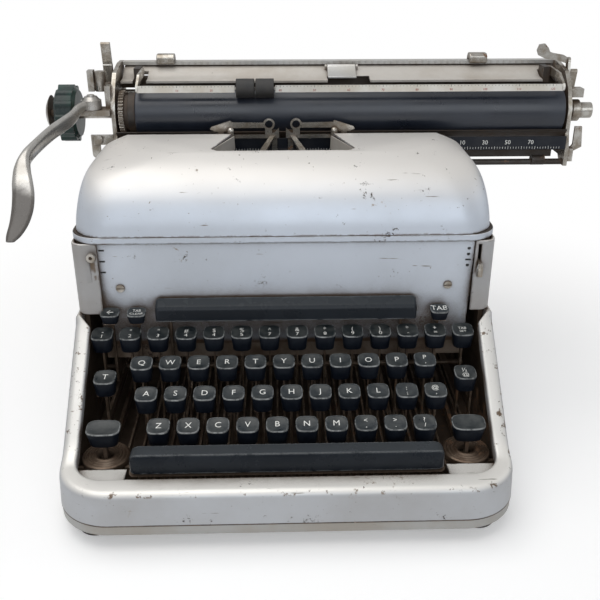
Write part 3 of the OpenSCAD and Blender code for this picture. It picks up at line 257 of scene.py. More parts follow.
def makeMaterial(name, look):
    use = {**plainLook, **look}
    material = bpy.data.materials.new(name)
    material.use_nodes = True
    tree = material.node_tree
    place = wire(tree, "TexCoord", take="Object")
    normal = wire(tree, "NewGeometry", take="Normal")
    up = wire(tree, "SeparateXYZ", normal, take="Z")
    mottle = noiseOf(tree, place, use["mottle"], 6, 0.6)
    colour = mixColour(tree, smoothMap(tree, mottle, 0.32, 0.68), use["colour"], use["tint"])
    # faces that look up are painted a lighter colour: painted light from above
    if use["paintedTopLight"]:
        colour = mixColour(tree, smoothMap(tree, up, 0.35, 0.95), colour, use["paintedTopLight"])
    half = use["roughSpan"] / 2
    rough = smoothMap(tree, mottle, 0.25, 0.75, use["rough"] - half, use["rough"] + half)
    dulled = None

    def group(key, amount, **values):
        return wire(tree, "Group", node_tree=wearAndPaintedLightGroups[key], Vector=place, Amount=use[amount], take="Mask",
            **{socket: use[value] for socket, value in values.items()})

    # a mask in one of the look's colours, what it adds to the roughness, and whether it hides the metal
    def layer(mask, tone, roughened=0, hides=False):
        nonlocal colour, rough, dulled
        colour = mixColour(tree, mask, colour, use[tone])
        if roughened:
            rough = mathNode(tree, "ADD", rough, mathNode(tree, "MULTIPLY", mask, roughened), True)
        if hides:
            dulled = mask if dulled is None else mathNode(tree, "MAXIMUM", dulled, mask)

    if use["scratch"]:
        layer(group("scratch", "scratch", Scale="scratchScale"), "scratchColour")
    # darker towards the bottom of the piece, below the look's two heights
    if use["darkBelow"]:
        layer(stainMask(tree, place, *use["darkBelow"]), "darkBelowColour", hides=True)
    if use["rimWear"]:
        layer(rimMask(tree, place, up, use["rimWear"]), "edgeColour")
    if use["chips"]:
        layer(group("spots", "chips", Scale="chipScale"), "chipColour")
    # edges in the edge colour: worn chips, and where that colour is light, as on the levers and bars, a painted
    # highlight
    if use["edge"]:
        layer(group("edge", "edge", Radius="edgeRadius"), "edgeColour", 0.1)
    if use["spots"]:
        layer(group("spots", "spots", Scale="spotScale"), "spotColour", 0.3, True)
    # dirt and painted shade where the surface is shut in
    if use["grimeAndShade"]:
        layer(group("grimeAndShade", "grimeAndShade", Distance="grimeAndShadeDistance"), "grimeAndShadeColour", 0.35, True)
    metal = use["metal"]
    if metal and dulled is not None:
        metal = mathNode(tree, "MULTIPLY", metal, mathNode(tree, "SUBTRACT", 1.0, dulled))
    shader = tree.nodes["Principled BSDF"]
    for key, value in (("Base Color", colour), ("Roughness", rough), ("Metallic", metal), ("IOR", use["ior"]),
            ("Coat Weight", use["coat"]), ("Coat Roughness", 0.12)):
        feed(shader.inputs[key], value)
    if use["bump"]:
        source = place
        if use["brushed"]:
            source = wire(tree, "Mapping", Vector=place, Scale=use["brushed"])
        grain = noiseOf(tree, source, use["bumpScale"], 3)
        feed(shader.inputs["Normal"], wire(tree, "Bump", Strength=use["bump"], Distance=0.0003, Height=grain))
    return material


# silver paint; its lighter top colour is painted light from above
silver = dict(colour=(0.62, 0.67, 0.75), tint=(0.55, 0.59, 0.65), paintedTopLight=(0.8, 0.775, 0.745), metal=0.36,
    rough=0.42, roughSpan=0.14, bump=0.12, bumpScale=1400, edge=0.85, edgeColour=(0.16, 0.115, 0.08),
    edgeRadius=0.0016, grimeAndShade=1.15, grimeAndShadeColour=(0.1, 0.066, 0.044), grimeAndShadeDistance=0.016, scratch=0.5, spots=0.3,
    spotScale=130, spotColour=(0.36, 0.3, 0.25), chips=0.38, chipScale=420, mottle=9)
looks = {
    "silverPaint": silver,
    "panelPaint": {**silver, "colour": (0.68, 0.73, 0.81), "tint": (0.62, 0.66, 0.72), "darkBelow": (0.078, 0.088)},
    "housingPaint": {**silver, "colour": (0.45, 0.455, 0.465), "tint": (0.36, 0.34, 0.325), "chips": 0.42},
    # the casing's lighter top colour is painted light from above
    "casingPaint": {**silver, "colour": (0.53, 0.545, 0.57), "tint": (0.45, 0.45, 0.455),
        "paintedTopLight": (0.86, 0.84, 0.8), "chips": 0.44, "chipScale": 520, "rimWear": 0.43, "darkBelow": (0.0183, 0.0197),
        "darkBelowColour": (0.05, 0.034, 0.024)},
    "rustyPlate": dict(colour=(0.16, 0.105, 0.07), tint=(0.3, 0.24, 0.19), metal=0.3, rough=0.5, grimeAndShade=0.9,
        spots=0.8, spotColour=(0.05, 0.03, 0.02), mottle=60, bump=0.2, grimeAndShadeDistance=0.01),
    "paintMark": dict(colour=(0.01, 0.01, 0.011), tint=(0.02, 0.02, 0.02), rough=0.5, mottle=300),
    "baseLip": dict(colour=(0.46, 0.46, 0.45), tint=(0.4, 0.37, 0.33), metal=0.4, rough=0.42, edge=0.7, grimeAndShade=0.5,
        scratch=0.35, spots=0.4, spotColour=(0.18, 0.09, 0.04), mottle=20, bump=0.1),
    "trimMetal": dict(colour=(0.66, 0.66, 0.65), tint=(0.56, 0.54, 0.5), metal=0.7, rough=0.33, edge=0.4, grimeAndShade=0.6,
        scratch=0.3, mottle=30, bump=0.08, brushed=(0.05, 1, 1)),
    "wornNickel": dict(colour=(0.6, 0.58, 0.54), tint=(0.3, 0.26, 0.21), metal=0.9, rough=0.26, roughSpan=0.2,
        edge=0.4, edgeColour=(0.7, 0.68, 0.64), grimeAndShade=1.3, grimeAndShadeColour=(0.1, 0.065, 0.04), spots=0.55,
        spotScale=160, scratch=0.25, mottle=110, bump=0.1, grimeAndShadeDistance=0.009),
    "polishedNickel": dict(colour=(0.62, 0.61, 0.59), tint=(0.42, 0.4, 0.37), metal=0.8, rough=0.26,
        darkBelow=(0.188, 0.214), darkBelowColour=(0.1, 0.09, 0.082), roughSpan=0.2, edge=0.4, edgeColour=(0.1, 0.08, 0.06),
        edgeRadius=0.002, grimeAndShade=0.8, grimeAndShadeColour=(0.07, 0.045, 0.03), scratch=0.4, spots=0.4, mottle=40,
        grimeAndShadeDistance=0.008),
    "frameSteel": dict(colour=(0.09, 0.068, 0.052), tint=(0.05, 0.033, 0.022), metal=0.6, rough=0.5, grimeAndShade=1,
        spots=0.6, mottle=45, bump=0.2, grimeAndShadeDistance=0.02),
    "darkSteel": dict(colour=(0.06, 0.055, 0.052), tint=(0.045, 0.036, 0.03), metal=0.6, rough=0.42, grimeAndShade=0.9,
        spots=0.5, mottle=60, bump=0.15),
    # levers: the light edge colour is a painted highlight along their edges
    "tarnishedLever": dict(colour=(0.2, 0.15, 0.11), tint=(0.08, 0.052, 0.034), metal=0.65, rough=0.4, edge=0.7,
        edgeColour=(0.55, 0.46, 0.38), edgeRadius=0.0008, grimeAndShade=0.9, spots=0.7, mottle=90, bump=0.2,
        grimeAndShadeDistance=0.02),
    "keyPlastic": dict(colour=(0.005, 0.007, 0.012), tint=(0.009, 0.012, 0.018), rough=0.4, roughSpan=0.2, ior=1.25,
        grimeAndShade=0.3, grimeAndShadeColour=(0.04, 0.03, 0.02), mottle=120, bump=0.05),
    # key rims: light flecks on the rounded rim, a painted highlight mixed with wear
    "keyRimHighlightAndWear": dict(colour=(0.02, 0.024, 0.026), tint=(0.22, 0.23, 0.23), rough=0.3, roughSpan=0.2, mottle=260,
        coat=0.2),
    # key tops: the same plastic painted lighter, as painted light from above, with scratches
    "keyTopLightAndScratches": dict(colour=(0.016, 0.021, 0.024), tint=(0.05, 0.055, 0.055), rough=0.36, roughSpan=0.2, mottle=150,
        scratch=0.4, scratchColour=(0.16, 0.165, 0.16), scratchScale=90, bump=0.05),
    # bars: the lighter top colour is painted light from above, and the light edge colour is a painted highlight mixed
    # with wear
    "barPlastic": dict(colour=(0.005, 0.008, 0.013), tint=(0.012, 0.016, 0.022), rough=0.28, roughSpan=0.2, ior=1.3,
        paintedTopLight=(0.04, 0.045, 0.05), edge=0.95, edgeColour=(0.3, 0.31, 0.315), edgeRadius=0.0016, grimeAndShade=0.3,
        grimeAndShadeColour=(0.06, 0.045, 0.03), scratch=0.35, scratchColour=(0.1, 0.105, 0.11), mottle=40, bump=0.04),
    "legendWhite": dict(colour=(0.92, 0.92, 0.88), tint=(0.78, 0.78, 0.74), rough=0.5, mottle=300),
    "platenRubber": dict(colour=(0.012, 0.016, 0.026), tint=(0.022, 0.028, 0.042), rough=0.34, ior=1.6,
        roughSpan=0.22, grimeAndShade=0.3, grimeAndShadeColour=(0.1, 0.08, 0.07), scratch=0.3, scratchColour=(0.09, 0.1, 0.12),
        scratchScale=24, mottle=18, bump=0.06, bumpScale=600),
    "blackRubber": dict(colour=(0.018, 0.018, 0.019), tint=(0.04, 0.037, 0.035), rough=0.6, grimeAndShade=0.4, edge=0.4,
        edgeColour=(0.1, 0.09, 0.08), mottle=80, bump=0.15),
    "greenKnob": dict(colour=(0.012, 0.045, 0.035), tint=(0.02, 0.03, 0.03), rough=0.22, roughSpan=0.16, edge=0.4,
        edgeColour=(0.06, 0.11, 0.09), grimeAndShade=0.4, coat=0.1, ior=1.35, mottle=50),
    "tablePaint": dict(colour=(0.62, 0.59, 0.55), tint=(0.5, 0.455, 0.4), metal=0.2, rough=0.4, edge=0.5, grimeAndShade=0.7,
        scratch=0.35, spots=0.7, spotScale=45, spotColour=(0.28, 0.17, 0.09), mottle=22, bump=0.1),
    "scaleWhite": dict(colour=(0.8, 0.78, 0.73), tint=(0.66, 0.61, 0.53), grimeAndShade=0.4, mottle=40),
    "scaleBlack": dict(colour=(0.01, 0.013, 0.02), tint=(0.02, 0.022, 0.028), rough=0.4, ior=1.35, edge=0.5,
        edgeColour=(0.35, 0.33, 0.3), grimeAndShade=0.3, mottle=60),
    "scaleRed": dict(colour=(0.42, 0.05, 0.03), tint=(0.3, 0.05, 0.03), rough=0.5, mottle=200),
    "ribbonCloth": dict(colour=(0.014, 0.014, 0.018), tint=(0.03, 0.03, 0.035), rough=0.8, mottle=200, bump=0.5,
        bumpScale=3500),
    "oldBrass": dict(colour=(0.42, 0.32, 0.15), tint=(0.26, 0.18, 0.09), metal=0.8, rough=0.4, grimeAndShade=0.8, spots=0.4,
        spotColour=(0.18, 0.09, 0.04), mottle=60),
    "dishBrown": dict(colour=(0.2, 0.15, 0.11), tint=(0.09, 0.055, 0.036), metal=0.7, rough=0.36, grimeAndShade=0.7,
        spots=0.6, mottle=70, bump=0.15),
}
finishes = {name: makeMaterial(name, look) for name, look in looks.items()}
print("materials made:", len(finishes))

# floor and world; past the plain distances the floor is white paper, so that the shadow dies away
floorLook = {"size": 6.0, "colour": (0.86, 0.86, 0.865), "glow": 0.27, "plain": (0.26, 0.52), "world": 0.36,
    "mirrored": 0.5}


def makeFloor():
    size = floorLook["size"]
    mesh = bpy.data.meshes.new("floor")
    mesh.from_pydata([(-size, -size, 0), (size, -size, 0), (size, size, 0), (-size, size, 0)], [], [(0, 1, 2, 3)])
    floor = newObject("floor", mesh)
    material = bpy.data.materials.new("paleFloor")
    material.use_nodes = True
    tree = material.node_tree
    tree.nodes.clear()

    def lit(strength):
        return wire(tree, "Emission", Color=(1, 1, 1, 1), Strength=strength)

    diffuse = wire(tree, "BsdfDiffuse", Color=(*floorLook["colour"], 1))
    near = wire(tree, "AddShader", diffuse, lit(floorLook["glow"]))
    place = wire(tree, "TexCoord", take="Object")
    reach = wire(tree, "VectorMath", place, take="Value", operation="LENGTH")
    faded = wire(tree, "MixShader", smoothMap(tree, reach, *floorLook["plain"]), near, lit(1.0))
    seen = wire(tree, "LightPath", take="Is Camera Ray")
    addNode(tree, "OutputMaterial", Surface=wire(tree, "MixShader", seen, diffuse, faded))
    mesh.materials.append(material)


def makeWorld():
    world = bpy.data.worlds.new("studio")
    scene.world = world
    world.use_nodes = True
    tree = world.node_tree
    path = addNode(tree, "LightPath").outputs
    mirrored = smoothMap(tree, path["Is Glossy Ray"], 0, 1, floorLook["world"], floorLook["mirrored"])
    shown = tree.nodes["Background"].inputs
    feed(shown["Color"], (1, 1, 1, 1))
    feed(shown["Strength"], smoothMap(tree, path["Is Camera Ray"], 0, 1, mirrored, 1.0))


makeFloor()
makeWorld()


# making pieces
def newPiece(name, mesh, material, body, nodes=(), moved=True):
    piece = newObject(name, mesh)
    if material:
        mesh.materials.clear()
        mesh.materials.append(finishes[material])
    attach(piece, body)
    if moved:
        drawn.append(piece)
    if nodes:
        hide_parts(*nodes)
    return piece


def shapeOf(mesh, weld=False):
    shape = bmesh.new()
    shape.from_mesh(mesh)
    if weld:
        bmesh.ops.remove_doubles(shape, verts=shape.verts, dist=1e-6)
    return shape


# a shape's mesh, new or written back into the one it came from
def meshOf(shape, target):
    mesh = bpy.data.meshes.new(target) if isinstance(target, str) else target
    shape.to_mesh(mesh)
    shape.free()
    return mesh


def mergeInto(shape, mesh):
    shape.from_mesh(mesh)
    bpy.data.meshes.remove(mesh)


def addBox(shape, middle, size):
    place = Matrix.Translation(metres(middle)) @ Matrix.Diagonal((*metres(size), 1))
    bmesh.ops.create_cube(shape, size=1, matrix=place)


def smoothen(mesh, angle):
    mesh.polygons.foreach_set("use_smooth", [True] * len(mesh.polygons))
    mesh.set_sharp_from_angle(angle=radians(angle))


def evaluatedMesh(piece):
    return bpy.data.meshes.new_from_object(piece.evaluated_get(bpy.context.evaluated_depsgraph_get()))


def applyModifiers(piece):
    mesh = evaluatedMesh(piece)
    old = piece.data
    piece.modifiers.clear()
    piece.data = mesh
    bpy.data.meshes.remove(old)


# rounds the edges that are sharper than the angle
def ease(piece, width, angle, segments):
    bevel = piece.modifiers.new("ease", "BEVEL")
    bevel.width = width / 1000
    bevel.segments = segments
    bevel.limit_method = "ANGLE"
    bevel.angle_limit = radians(angle)
    return piece.modifiers.new("weigh", "WEIGHTED_NORMAL")


easing = {"flat": 0.6, "smooth": 40, "angle": 30, "segments": 2}


# a CAD node's shape with its seams closed and its edges eased
def easedNode(node, material, width):
    mesh = frame["nodes"][node].data.copy()
    mesh.name = node + "Eased"
    shape = shapeOf(mesh, weld=True)
    flat = radians(easing["flat"])
    bmesh.ops.dissolve_limit(shape, angle_limit=flat, verts=shape.verts, edges=shape.edges)
    meshOf(shape, mesh)
    for name in ("custom_normal", "sharp_face"):
        if name in mesh.attributes:
            mesh.attributes.remove(mesh.attributes[name])
    piece = newPiece(node + "Eased", mesh, material, bodyOf[node], moved=False)
    smoothen(mesh, easing["smooth"])
    ease(piece, width, easing["angle"], easing["segments"]).keep_sharp = True
    applyModifiers(piece)
    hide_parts(node)


# what is left of a node below its key cap, for a cap drawn anew
def leverBelow(node, level):
    shape = shapeOf(frame["nodes"][node].data, weld=True)
    whole = list(shape.verts) + list(shape.edges) + list(shape.faces)
    bmesh.ops.bisect_plane(shape, geom=whole, plane_co=(0, 0, level / 1000), plane_no=(0, 0, 1), clear_outer=True)
    bmesh.ops.holes_fill(shape, edges=shape.edges)
    newPiece(node + "Lever", meshOf(shape, node + "Lever"), "tarnishedLever", bodyOf[node], [node],
        moved=False)


# the faces between two rings of points, by their first numbers
def band(low, high, count):
    return [(low + i, low + (i + 1) % count, high + (i + 1) % count, high + i) for i in range(count)]


def ringSkin(rings, loop=False):
    count, total = len(rings[0]), len(rings)
    faces = []
    for k in range(total if loop else total - 1):
        faces += band(k * count, (k + 1) % total * count, count)
    if not loop:
        faces.append(tuple(range(count - 1, -1, -1)))
        faces.append(tuple(range((total - 1) * count, total * count)))
    mesh = bpy.data.meshes.new("skin")
    mesh.from_pydata([metres(p) for ring in rings for p in ring], [], faces)
    shape = shapeOf(mesh, weld=True)
    bmesh.ops.recalc_face_normals(shape, faces=shape.faces)
    return meshOf(shape, mesh)


# a smooth curve through tuples, in steps between neighbours
def curveThrough(values, steps):
    last = len(values) - 1
    out = []
    for i in range(last):
        around = [values[max(0, min(last, i + o))] for o in (-1, 0, 1, 2)]
        for t in (s / steps for s in range(steps)):
            out.append(tuple(
                0.5 * (2 * b + (c - a) * t + (2 * a - 5 * b + 4 * c - d) * t * t + (3 * b - a - 3 * c + d) * t ** 3)
                for a, b, c, d in zip(*around)))
    out.append(tuple(values[-1]))
    return out


# base casing
casing = {"halfWidth": 143.5, "cornerFront": 34, "cornerBack": 16, "rail": 10.5, "frontRail": 16.5, "flange": 4.2,
    "narrowing": 6, "apron": 41, "shoulder": 106, "lower": 18, "railStart": 26, "blend": 20, "columns": 112,
    "edge": 5, "innerEdge": 2, "wall": 2, "thick": 8, "smooth": 40,
    "stations": [205, 160, 130, 114, 112, 109, 106, 104, 102, 100, *range(98, 44, -3), 44, 42, 40, 38],
    "ledge": {"x": 117.45, "y": 24.6, "z": 34.2, "size": (30.9, 17.2, 2)}}


def railHeight(mm):
    run = mm - casing["railStart"]
    slope = (casing["shoulder"] - casing["apron"]) / (casing["columns"] - casing["railStart"] - casing["blend"] / 2)
    if run <= 0:
        return casing["apron"]
    if run < casing["blend"]:
        return casing["apron"] + slope * run * run / (2 * casing["blend"])
    return min(casing["shoulder"], casing["apron"] + slope * (run - casing["blend"] / 2))


# the wall's section: up the outside, over the rolled rim, and back down the inside
def casingRing(place, inward, width, top):
    low, under, wall, inner = casing["lower"], top - casing["thick"], casing["wall"], casing["innerEdge"]
    edge = min(casing["edge"], width - inner - 0.1)
    profile = [(-1, low), (-0.4, lerp(low, top - edge, 0.6))]
    profile += [(edge + edge * cos(a), top - edge + edge * sin(a)) for a in stepsOf(pi, pi / 2, 6)]
    profile += [(width - inner + inner * cos(a), top - inner + inner * sin(a)) for a in stepsOf(pi / 2, 0, 4)]
    profile += [(width, under + 0.4), (width - 0.4, under), (wall, under), (wall, low)]
    return [(place[0] + inward[0] * q, place[1] + inward[1] * q, z) for q, z in profile]


def makeCasing():
    half, rail, front, flange = (casing[key] for key in ("halfWidth", "rail", "frontRail", "flange"))
    stations = []

    def side(s, mm):
        share = (mm - casing["columns"] + casing["narrowing"]) / casing["narrowing"]
        width = lerp(rail, flange, min(1, max(0, share)))
        stations.append(((s * half, fromFront(mm)), (-s, 0), width))

    def corner(s, cy, radius, first, startWidth, endWidth, count):
        for i in range(count + 1):
            a = radians(first + 90 * i / count)
            d = (cos(a), sin(a))
            place = (s * (half - radius) + radius * d[0], cy + radius * d[1])
            stations.append((place, (-d[0], -d[1]), lerp(startWidth, endWidth, i / count)))

    big, small = casing["cornerFront"], casing["cornerBack"]
    for mm in casing["stations"]:
        side(-1, mm)
    corner(-1, fromFront(big), big, 180, rail, front, 16)
    corner(1, fromFront(big), big, 270, front, rail, 16)
    for mm in reversed(casing["stations"]):
        side(1, mm)
    corner(1, fromFront(depth - small), small, 0, flange, flange, 8)
    corner(-1, fromFront(depth - small), small, 90, flange, flange, 8)
    mesh = ringSkin([casingRing(p, n, w, railHeight(p[1] + depth / 2)) for p, n, w in stations], loop=True)
    ledge, shape = casing["ledge"], shapeOf(mesh)
    for s in (-1, 1):
        addBox(shape, (s * ledge["x"], fromFront(ledge["y"]), ledge["z"]), ledge["size"])
    meshOf(shape, mesh)
    smoothen(mesh, casing["smooth"])
    newPiece("casingShell", mesh, "casingPaint", "base", ["base_casing"])


makeCasing()

# top cover: the profile holds height, set back and set in; the notch is the opening for the typebars
hood = {"profile": [(162.8, 0, 0.2), (172.8, 2, 1), (184.8, 7.6, 2.8), (193.8, 15.6, 5.4), (199.8, 24.6, 9.6),
    (203.8, 34, 16.4), (207.2, 46, 27)], "half": 141.2, "front": fromFront(110.6), "back": fromFront(206),
    "thick": 1.6, "crown": 34, "rise": 0.8, "climb": 12, "round": 24, "steps": 5, "corner": 14, "smooth": 38,
    "notch": [(-46, 160), (46, 160), (50, 165), (36, 212), (-36, 212), (-50, 165)],
    "cuts": {"notchCut": ("notch", 190, 220), "backCut": ("open", 150, 196)},
    "open": [(-139, 196), (139, 196), (139, 215), (-139, 215)],
    "walls": [(206.4, 0.3), (203, 0.1), (196.5, -0.6)], "wallSpread": 80, "wallThick": 0.0009}


def hoodRing(z, y, side, inset):
    half = hood["half"] - side - inset
    front, back = hood["front"] + y + inset, hood["back"] - inset
    radius = min(half - 60, hood["round"] + side * 0.9 - inset)
    level = z - (hood["thick"] * min(1, y / hood["crown"]) if inset else 0)
    points = []

    def corner(x, first):
        for a in stepsOf(radians(first), radians(first + 90), hood["corner"]):
            points.append((x + radius * cos(a), front + radius + radius * sin(a)))

    corner(-half + radius, 180)
    points += [(lerp(-half + radius, half - radius, t), front) for t in (0.25, 0.5, 0.75)]
    corner(half - radius, 270)
    points += [(half, back), (-half, back)]
    climb = hood["rise"] * max(0.0, (y - hood["crown"]) / hood["climb"])
    return [(px, py, level + climb * (py - front) / 50) for px, py in points]


def hoodOutline(key):
    return [(x, fromFront(y)) for x, y in hood[key]]


def makeHoodShell():
    rings = curveThrough(hood["profile"], hood["steps"])
    skins = [hoodRing(*ring, 0) for ring in rings] + [hoodRing(*ring, hood["thick"]) for ring in reversed(rings)]
    count, total = len(skins[0]), len(rings)
    faces = []
    for k in range(2 * total - 1):
        if k != total - 1:
            faces += band(k * count, (k + 1) * count, count)
    faces.append(tuple(range((total - 1) * count, total * count)))
    faces.append(tuple(range((total + 1) * count - 1, total * count - 1, -1)))
    faces += band((2 * total - 1) * count, 0, count)
    mesh = bpy.data.meshes.new("hood")
    mesh.from_pydata([metres(p) for ring in skins for p in ring], [], faces)
    shape = shapeOf(mesh)
    bmesh.ops.triangulate(shape, faces=[f for f in shape.faces if len(f.verts) > 4])
    bmesh.ops.recalc_face_normals(shape, faces=shape.faces)
    piece = newPiece("hoodShell", meshOf(shape, mesh), "silverPaint", "cover")
    for name, (outline, low, high) in hood["cuts"].items():
        cutter = newObject(name, ringSkin([[(x, y, z) for x, y in hoodOutline(outline)] for z in (low, high)]))
        cut = piece.modifiers.new(name, "BOOLEAN")
        cut.object = cutter
        cut.solver = "EXACT"
        applyModifiers(piece)
        bpy.data.objects.remove(cutter)
    smoothen(piece.data, hood["smooth"])
    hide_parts("top_cover")


# walls turned down round the notch, open at the back
def makeNotchWall():
    ring = hoodOutline("notch")
    path = ring[4:] + ring[:4]
    wall = bmesh.new()
    rows = []
    for z, grow in hood["walls"]:
        spread = 1 + grow / hood["wallSpread"]
        rows.append([wall.verts.new(metres((x * spread, min(y, hood["back"] - 1), z))) for x, y in path])
    for low, high in zip(rows, rows[1:]):
        for i in range(len(path) - 1):
            wall.faces.new((low[i], low[i + 1], high[i + 1], high[i]))
    piece = newPiece("notchWall", meshOf(wall, "notchWall"), "tablePaint", "cover")
    solid = piece.modifiers.new("thick", "SOLIDIFY")
    solid.thickness = hood["wallThick"]
    solid.offset = 0
    applyModifiers(piece)


makeHoodShell()
makeNotchWall()
print("casing and cover made")

# keys: the legends' kinds hold a size and each line's place up the cap
pitch = 19.05
rowZero = -125.2
rowQ = rowZero + 1.5 * pitch
rowA = rowQ + 0.25 * pitch
rowZ = rowA + 0.5 * pitch
cap = {"tilt": 12, "dish": 0.9, "round": 0.7, "sink": 0.1, "around": 28, "square": 3.6, "footSquare": 3.4,
    "middleSquare": 2.2, "rings": 5, "smooth": 50}
capSizes = {"usual": (14.8, 14, 12, 12, 12), "small": (13, 10.6, 7.5, 9.6, 8.6), "shift": (22, 14, 12, 17, 10.5)}
legendKinds = {"single": (6.3, [0.6]), "words": (3.1, [1.9, -1.4]), "pair": (4.9, [2.5, -2.0])}


# a circle drawn out towards a square as the power grows
def capOutline(halfX, halfY, count, power):
    points = []
    for i in range(count):
        a = 2 * pi * (i + 0.5) / count
        c, s = cos(a), sin(a)
        scale = (abs(c) ** power + abs(s) ** power) ** (-1 / power)
        points.append((halfX * c * scale, halfY * s * scale))
    return points


def capTop(x, y, halfX, halfY, dish=cap["dish"]):
    far = min(1.0, (x / halfX) ** 2 * 0.75 + (y / halfY) ** 2 * 0.75)
    return y * tan(radians(cap["tilt"])) - dish * (1 - far)


# a cap on its foot, in rows from below: skirt, rounded rim, dished top
def capMesh(shape, place, size):
    width, deep, height, footX, footY = size
    halfX, halfY, edge, count = width / 2, deep / 2, cap["round"], cap["around"]
    rows = []
    for t, drop, grow in ((0, -height, 0), (0.02, -height + 0.4, 0.25), (0.5, None, 0), (1, None, 0)):
        reach = t ** 0.9
        outline = capOutline(lerp(footX / 2, halfX, reach) + grow, lerp(footY / 2, halfY, reach) + grow, count,
            lerp(cap["footSquare"], cap["square"], t))
        rows.append([(x, y, lerp(-height, capTop(x, y, halfX, halfY, 0) - edge, t) if drop is None else drop)
            for x, y in outline])
    for a in map(radians, (35, 65, 90)):
        inset = edge * (1 - cos(a))
        rows.append([(x, y, capTop(x, y, halfX, halfY, 0) - edge + edge * sin(a) - cap["sink"])
            for x, y in capOutline(halfX - inset, halfY - inset, count, cap["square"])])
    innerX, innerY = halfX - edge, halfY - edge
    for k in range(1, cap["rings"]):
        share = 1 - k / cap["rings"]
        power = lerp(cap["middleSquare"], cap["square"], share)
        rows.append([(x, y, capTop(x, y, innerX, innerY) - cap["sink"])
            for x, y in capOutline(innerX * share, innerY * share, count, power)])

    def vertex(x, y, z):
        return shape.verts.new(metres((place[0] + x, place[1] + y, place[2] + z)))

    made = [[vertex(*point) for point in row] for row in rows]
    for k, (low, high) in enumerate(zip(made, made[1:])):
        for i in range(count):
            j = (i + 1) % count
            face = shape.faces.new((low[i], low[j], high[j], high[i]))
            # skirt rows take the plain plastic, rim rows the painted rim highlight, top rows the painted top light
            face.material_index = 0 if k < 3 else 1 if k < 6 else 2
    shape.faces.new(list(reversed(made[0])))
    tip = vertex(0, 0, -cap["dish"] - cap["sink"])
    for i in range(count):
        shape.faces.new((made[-1][i], made[-1][(i + 1) % count], tip)).material_index = 2


def textMesh(text, size, fine, spacing=1.0):
    curve = bpy.data.curves.new("text", "FONT")
    curve.body = text
    curve.size = size / 1000
    curve.align_x = curve.align_y = "CENTER"
    curve.resolution_u = fine
    curve.space_line = spacing
    holder = newObject("text", curve)
    bpy.context.view_layer.update()
    mesh = bpy.data.meshes.new_from_object(holder)
    bpy.data.objects.remove(holder)
    return mesh


# flat text laid on a cap's dished top
def legend(text, place, size, halfX, halfY, rise):
    mesh = textMesh(text, size, 3, 0.8)
    for v in mesh.vertices:
        x, y = v.co.x * 1000, v.co.y * 1000 + rise
        v.co = metres((place[0] + x, place[1] + y, place[2] + capTop(x, y, halfX, halfY)))
    return mesh


def rowPlace(row):
    return fromFront(keyRise["front"] + keyRise["back"] * row), keyRise["low"] + keyRise["up"] * row


keyRows = {
    "number": {"x": rowZero, "row": 3, "node": "number_keys",
        "legends": ["-\n1", "\"\n2", "\"\n3", "#\n4", "$\n4", "%\n5", "^\n7", "&\n7", "*\n8", "(\n9", ")\n0", "*\n-",
            "+\n=", "TAB\nSET"]},
    "upper": {"x": rowQ, "row": 2, "node": "upper_letter_keys",
        "legends": [*"QWERTYUIOP", "P\n,"]},
    "middle": {"x": rowA, "row": 1, "node": "middle_letter_keys",
        "legends": [*"ASDF", None, *"HJKL", ":\n;", "@\n,"]},
    "lower": {"x": rowZ, "row": 0, "node": "lower_letter_keys",
        "legends": [*"ZXCVBNM", "<\n,", ">\n.", "?\n/"]},
}
keyRise = {"front": 48, "back": 19, "low": 58, "up": 12.5}
sideKeys = {"extra": (120.6, fromFront(80), 76), "lock": (-120.6, fromFront(80), 76), "shiftX": 118,
    "shift": (fromFront(50), 56), "top": (fromFront(110.6), 109)}
keyLevers = {"key_g": 58.7, "backspace_key": 101.7, "tab_clear_key": 101.7, "tab_set_key": 101.7, "shift_lock": 64.2}


def makeKeys(name, items, size, body, nodes=()):
    caps, marks = bmesh.new(), bmesh.new()
    halfX, halfY = (capSizes[size][i] / 2 - cap["round"] for i in (0, 1))
    for place, text in items:
        capMesh(caps, place, capSizes[size])
        if text:
            lines = text.split("\n")
            high, rises = legendKinds["single" if len(lines) == 1 else "words" if len(text) > 4 else "pair"]
            for line, rise in zip(lines, rises):
                mergeInto(marks, legend(line, place, high, halfX, halfY, rise))
    bmesh.ops.recalc_face_normals(caps, faces=caps.faces)
    mesh = meshOf(caps, name)
    smoothen(mesh, cap["smooth"])
    for finish in ("keyPlastic", "keyRimHighlightAndWear", "keyTopLightAndScratches"):
        mesh.materials.append(finishes[finish])
    newPiece(name, mesh, None, body, nodes)
    if not marks.faces:
        marks.free()
        return
    for face in marks.faces:
        if face.normal.z < 0:
            face.normal_flip()
    newPiece(name + "Legends", meshOf(marks, name + "Legends"), "legendWhite", body)


def makeAllKeys():
    for name, row in keyRows.items():
        y, z = rowPlace(row["row"])
        items = [((row["x"] + pitch * i, y, z), text) for i, text in enumerate(row["legends"]) if text is not None]
        if name == "upper":
            items.append((sideKeys["extra"], "½\n@"))
        makeKeys(name + "Caps", items, "usual", bodyOf[row["node"]], [row["node"]])
    makeKeys("letterGCap", [((rowA + pitch * 4, *rowPlace(1)), "G")], "usual", "letter_g")
    smallKeys = {"backspace": (-119.6, "←"), "tab_clear": (-101.6, "TAB\nCLEAR"), "tab_set": (106.4, "TAB")}
    for name, (x, text) in smallKeys.items():
        makeKeys(name + "Cap", [((x, *sideKeys["top"]), text)], "small", name)
    shifts = [((s * sideKeys["shiftX"], *sideKeys["shift"]), None) for s in (-1, 1)]
    makeKeys("shiftCaps", shifts, "shift", "shift", ["shift_keys"])
    makeKeys("lockCap", [(sideKeys["lock"], "T")], "usual", "lock")
    for node, level in keyLevers.items():
        leverBelow(node, level)


makeAllKeys()
print("keys made")

